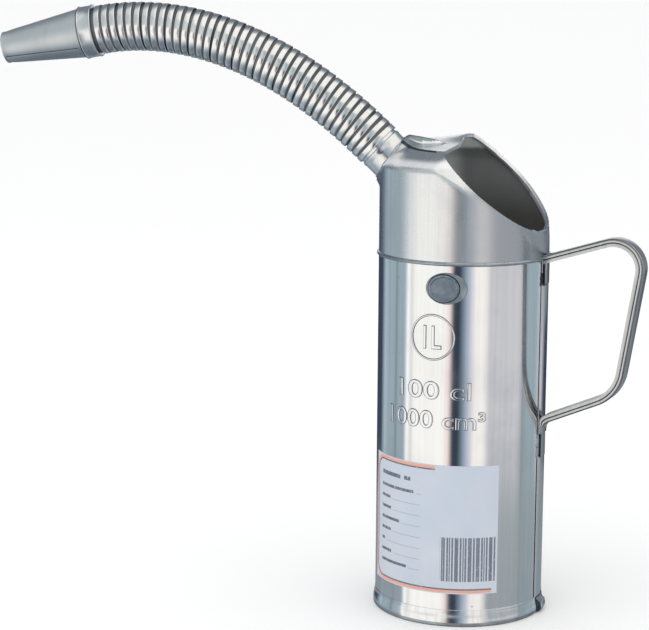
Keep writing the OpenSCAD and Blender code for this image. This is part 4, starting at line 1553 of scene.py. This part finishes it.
class JUG_OT_label(bpy.types.Operator):
    """Pastes the paper label round the wall"""

    bl_idname = "jug.label"
    bl_label = "Paper label"

    def execute(self, context):
        sizes, colours = context.scene.jug_sizes, context.scene.jug_colours
        deselect_all()
        upright = (math.pi / 2, 0, 0)
        bpy.ops.mesh.primitive_grid_add(x_subdivisions=96, y_subdivisions=48, size=1, rotation=upright)
        label = named("pasted_label")
        scale = Matrix.Diagonal((sizes.label_w, 1, sizes.label_h, 1))
        put(label, scale @ Matrix.Rotation(math.pi / 2, 4, "X"))
        lift = 0.06 * MM
        for vert in label.data.vertices:
            u, v = 2 * vert.co.x / sizes.label_w, 2 * vert.co.z / sizes.label_h
            corner = max(0.0, abs(u) - 0.9) * max(0.0, abs(v) - 0.85) / (0.1 * 0.15)
            vert.co.y = -lift * corner
        apply_modifier(label, "SOLIDIFY", thickness=sizes.label_t * 0.9, offset=1.0)
        if min(vert.co.y for vert in label.data.vertices) > -sizes.label_t / 2:
            raise RuntimeError("the label's thickness points into the wall")
        middle = sizes.label_z + sizes.label_h / 2
        wrap_round(label, sizes.body_r + 0.02 * MM, sizes.label_angle, middle)
        paint(label, label_paper("label_print", sizes, colours))
        smooth(label, 40)
        finish_piece(label, "jug", "paper_label")
        return {"FINISHED"}


class JUG_OT_stage(bpy.types.Operator):
    """Sets the floor, the studio light and the camera"""

    bl_idname = "jug.stage"
    bl_label = "Stage"

    def execute(self, context):
        colours, view = context.scene.jug_colours, context.scene.jug_view
        context.scene.view_settings.view_transform = "Standard"
        deselect_all()
        bpy.ops.mesh.primitive_plane_add(size=120.0)
        floor = named("studio_floor")
        paint(floor, plain_floor("floor_paint", colours.floor))
        floor.visible_glossy = False
        self.camera(context, view)
        self.world(context, view)
        self.lamp(view)
        return {"FINISHED"}

    def camera(self, context, view):
        """The camera, at the photograph's viewing angle."""
        pitch, yaw = view.pitch, view.yaw
        ahead = Vector((-math.sin(yaw) * math.cos(pitch), math.cos(yaw) * math.cos(pitch), -math.sin(pitch)))
        right = Vector((math.cos(yaw), math.sin(yaw), 0))
        above = right.cross(ahead)
        tilted_right = right * math.cos(view.roll) + above * math.sin(view.roll)
        tilted_up = above * math.cos(view.roll) - right * math.sin(view.roll)
        axes = Matrix((tilted_right, tilted_up, -ahead)).transposed().to_4x4()
        spot = Matrix.Translation((0, -view.distance, view.height))
        place = Matrix.Rotation(view.around, 4, "Z") @ spot @ axes
        deselect_all()
        bpy.ops.object.camera_add(location=place.translation, rotation=place.to_euler())
        camera = bpy.context.object
        camera.name = "camera"
        camera.data.sensor_width = SENSOR_W
        camera.data.lens = view.focal_px / PHOTO_W * SENSOR_W
        camera.data.clip_start = 0.05
        camera.data.clip_end = 200
        context.scene.camera = camera

    def world(self, context, view):
        """Studio surroundings: a plain white room, with soft panels that only reflections show."""
        world = bpy.data.worlds.new("studio")
        context.scene.world = world
        board = Board(world)
        way = board.signal("ShaderNodeTexCoord", out=0)
        turned = board.signal(
            "ShaderNodeVectorRotate", {"rotation_type": "Z_AXIS"}, {"Vector": way, "Angle": -view.around})
        east, north, high = board.axes(turned)
        azimuth = east.math("ARCTAN2", -north) / math.tau + 0.5
        elevation = high.math("ARCSINE") * (180 / math.pi)
        lower = self.panels(board, azimuth, self.lower_panels())
        upper = self.panels(board, azimuth, self.upper_panels())
        # The ceiling is pale over the camera, greyer at the left and dark behind the jug
        ceiling = board.mix(board.step(east, -0.15, -0.27), (0.84, 0.82, 0.78), (0.56, 0.60, 0.62))
        behind = north - east * 0.25
        ceiling = board.mix(board.step(behind, 0.05, 0.34), ceiling, (0.30, 0.34, 0.36))
        ceiling = board.mix(board.step(behind, 0.30, 0.60), ceiling, (0.14, 0.17, 0.19))
        # Panels round the jug, with a pale card low down, a little to the left of the camera
        room = board.mix(board.step(elevation, -4, 12), lower, upper)
        flank = board.step(azimuth, 0.405, 0.425) * board.step(azimuth, 0.462, 0.451)
        flank = flank * board.step(elevation, 12, 4) * board.step((elevation + 13.5).size(), 5.5, 9.5)
        room = board.mix(flank, room, (0.90, 0.87, 0.83))
        # Darker patches low at both sides, and at the right up to the height of the camera
        right = board.step(azimuth, 0.596, 0.614)
        low = right.most(board.step(azimuth, 0.28, 0.25)) * board.step(elevation, -13.2, -15.5)
        high = right * board.step(elevation, -8.2, -6.2) * board.step(elevation, 12, 4)
        room = board.mix((low * 0.85).most(high * 0.6), room, (0.25, 0.29, 0.31))
        room = board.mix(board.step(elevation + east * 25.0, 37, 49), room, ceiling)
        # A white gap straight behind the jug, and the floor, which is darkest straight below
        gap = board.step(north, 0.90, 0.95) * board.step(elevation, -2, 2) * board.step(elevation, 21, 15)
        room = board.mix(gap, room, (1.0, 1.0, 1.0))
        below = board.mix(board.step(elevation, -46, -68), (0.37, 0.42, 0.46), (0.15, 0.18, 0.21))
        below = board.mix(board.step(azimuth, 0.125, 0.095), below, (0.10, 0.13, 0.16))
        room = board.mix(board.step(elevation, -30, -54), room, below)
        shine = board.signal("ShaderNodeBackground", None, {"Color": room, "Strength": 1.17})
        white = board.signal("ShaderNodeBackground", None, {"Color": (1, 1, 1, 1), "Strength": 1.08})
        rays = board.node("ShaderNodeLightPath")
        direct = Signal(board, rays.outputs["Is Camera Ray"])
        soft = Signal(board, rays.outputs["Is Diffuse Ray"])
        seen = board.signal("ShaderNodeMixShader", None, {0: direct.most(soft), 1: shine, 2: white})
        board.node("ShaderNodeOutputWorld", None, {"Surface": seen})

    def panels(self, board, azimuth, edges):
        """Upright panels round the jug, from (degrees from the camera towards the right, shade) pairs."""
        stops = [(degrees / 360 + 0.5, shade) for degrees, shade in edges]
        return board.signal("ShaderNodeValToRGB", {"stops": stops}, {"Fac": azimuth})

    def lower_panels(self):
        navy, steel, black = (0.04, 0.05, 0.08), (0.38, 0.48, 0.54), (0.03, 0.04, 0.06)
        slate, dark_line = (0.30, 0.37, 0.41), (0.14, 0.19, 0.22)
        white, ivory, line = (1.0, 1.0, 1.0), (0.90, 0.88, 0.84), (0.66, 0.64, 0.62)
        pink, mist, lilac = (0.80, 0.66, 0.63), (0.22, 0.29, 0.36), (0.50, 0.53, 0.62)
        warm, grey, mid_grey = (0.88, 0.83, 0.79), (0.56, 0.55, 0.57), (0.26, 0.29, 0.31)
        return [
            (-180, navy), (-141, navy), (-128, steel), (-120, slate), (-104, slate), (-101, dark_line),
            (-98, slate), (-84, slate), (-79, white), (-73, line), (-68, ivory), (-24, ivory), (-17, pink),
            (-12, black), (-4, black), (3, mist), (10, lilac), (17, warm), (30, warm), (37, grey),
            (84, grey), (91, mid_grey), (100, slate), (118, slate), (132, grey), (143, navy), (180, navy)]

    def upper_panels(self):
        dusk, fog, cloud = (0.16, 0.18, 0.21), (0.44, 0.48, 0.50), (0.60, 0.62, 0.60)
        haze, day = (0.34, 0.40, 0.43), (0.62, 0.62, 0.61)
        return [
            (-180, dusk), (-115, dusk), (-80, fog), (-27, fog), (-15, cloud), (-10, cloud), (-4, haze),
            (10, haze), (24, day), (90, day), (118, dusk), (180, dusk)]

    def lamp(self, view):
        """One large soft lamp over the left shoulder of the camera."""
        place = Matrix.Rotation(view.around, 4, "Z") @ Vector((-0.7, -0.7, 1.3))
        aim = (Vector((0, 0, 0.12)) - place).to_track_quat("-Z", "Y").to_euler()
        deselect_all()
        bpy.ops.object.light_add(type="AREA", location=place, rotation=aim)
        lamp = bpy.context.object
        lamp.name = "soft_lamp"
        lamp.data.shape = "DISK"
        lamp.data.size = 1.6
        lamp.data.energy = 3.0
        lamp.visible_glossy = False


class JUG_PT_panel(bpy.types.Panel):
    """Lists the steps that build the jug"""

    bl_label = "Oil measuring jug"
    bl_idname = "JUG_PT_panel"
    bl_space_type = "VIEW_3D"
    bl_region_type = "UI"
    bl_category = "Jug"

    def draw(self, context):
        for step in STEPS:
            self.layout.operator(step.bl_idname)
        for group in (context.scene.jug_sizes, context.scene.jug_colours, context.scene.jug_view):
            column = self.layout.column(align=True)
            for name in group.__annotations__:
                column.prop(group, name)


STEPS = (
    JUG_OT_stage, JUG_OT_body_wall, JUG_OT_base_pan, JUG_OT_hood, JUG_OT_neck, JUG_OT_spout, JUG_OT_nozzle,
    JUG_OT_handle, JUG_OT_seal, JUG_OT_label)
GROUPS = (JugSizes, JugColours, JugView)


def register():
    for kind in GROUPS + STEPS + (JUG_PT_panel,):
        bpy.utils.register_class(kind)
    bpy.types.Scene.jug_sizes = PointerProperty(type=JugSizes)
    bpy.types.Scene.jug_colours = PointerProperty(type=JugColours)
    bpy.types.Scene.jug_view = PointerProperty(type=JugView)


def unregister():
    del bpy.types.Scene.jug_view
    del bpy.types.Scene.jug_colours
    del bpy.types.Scene.jug_sizes
    for kind in reversed(GROUPS + STEPS + (JUG_PT_panel,)):
        bpy.utils.unregister_class(kind)


def main():
    register()
    bpy.ops.jug.stage()
    bpy.ops.jug.body_wall()
    bpy.ops.jug.base_pan()
    bpy.ops.jug.hood()
    bpy.ops.jug.neck()
    bpy.ops.jug.spout()
    bpy.ops.jug.nozzle()
    bpy.ops.jug.handle()
    bpy.ops.jug.seal()
    bpy.ops.jug.label()


if __name__ == "__main__":
    main()
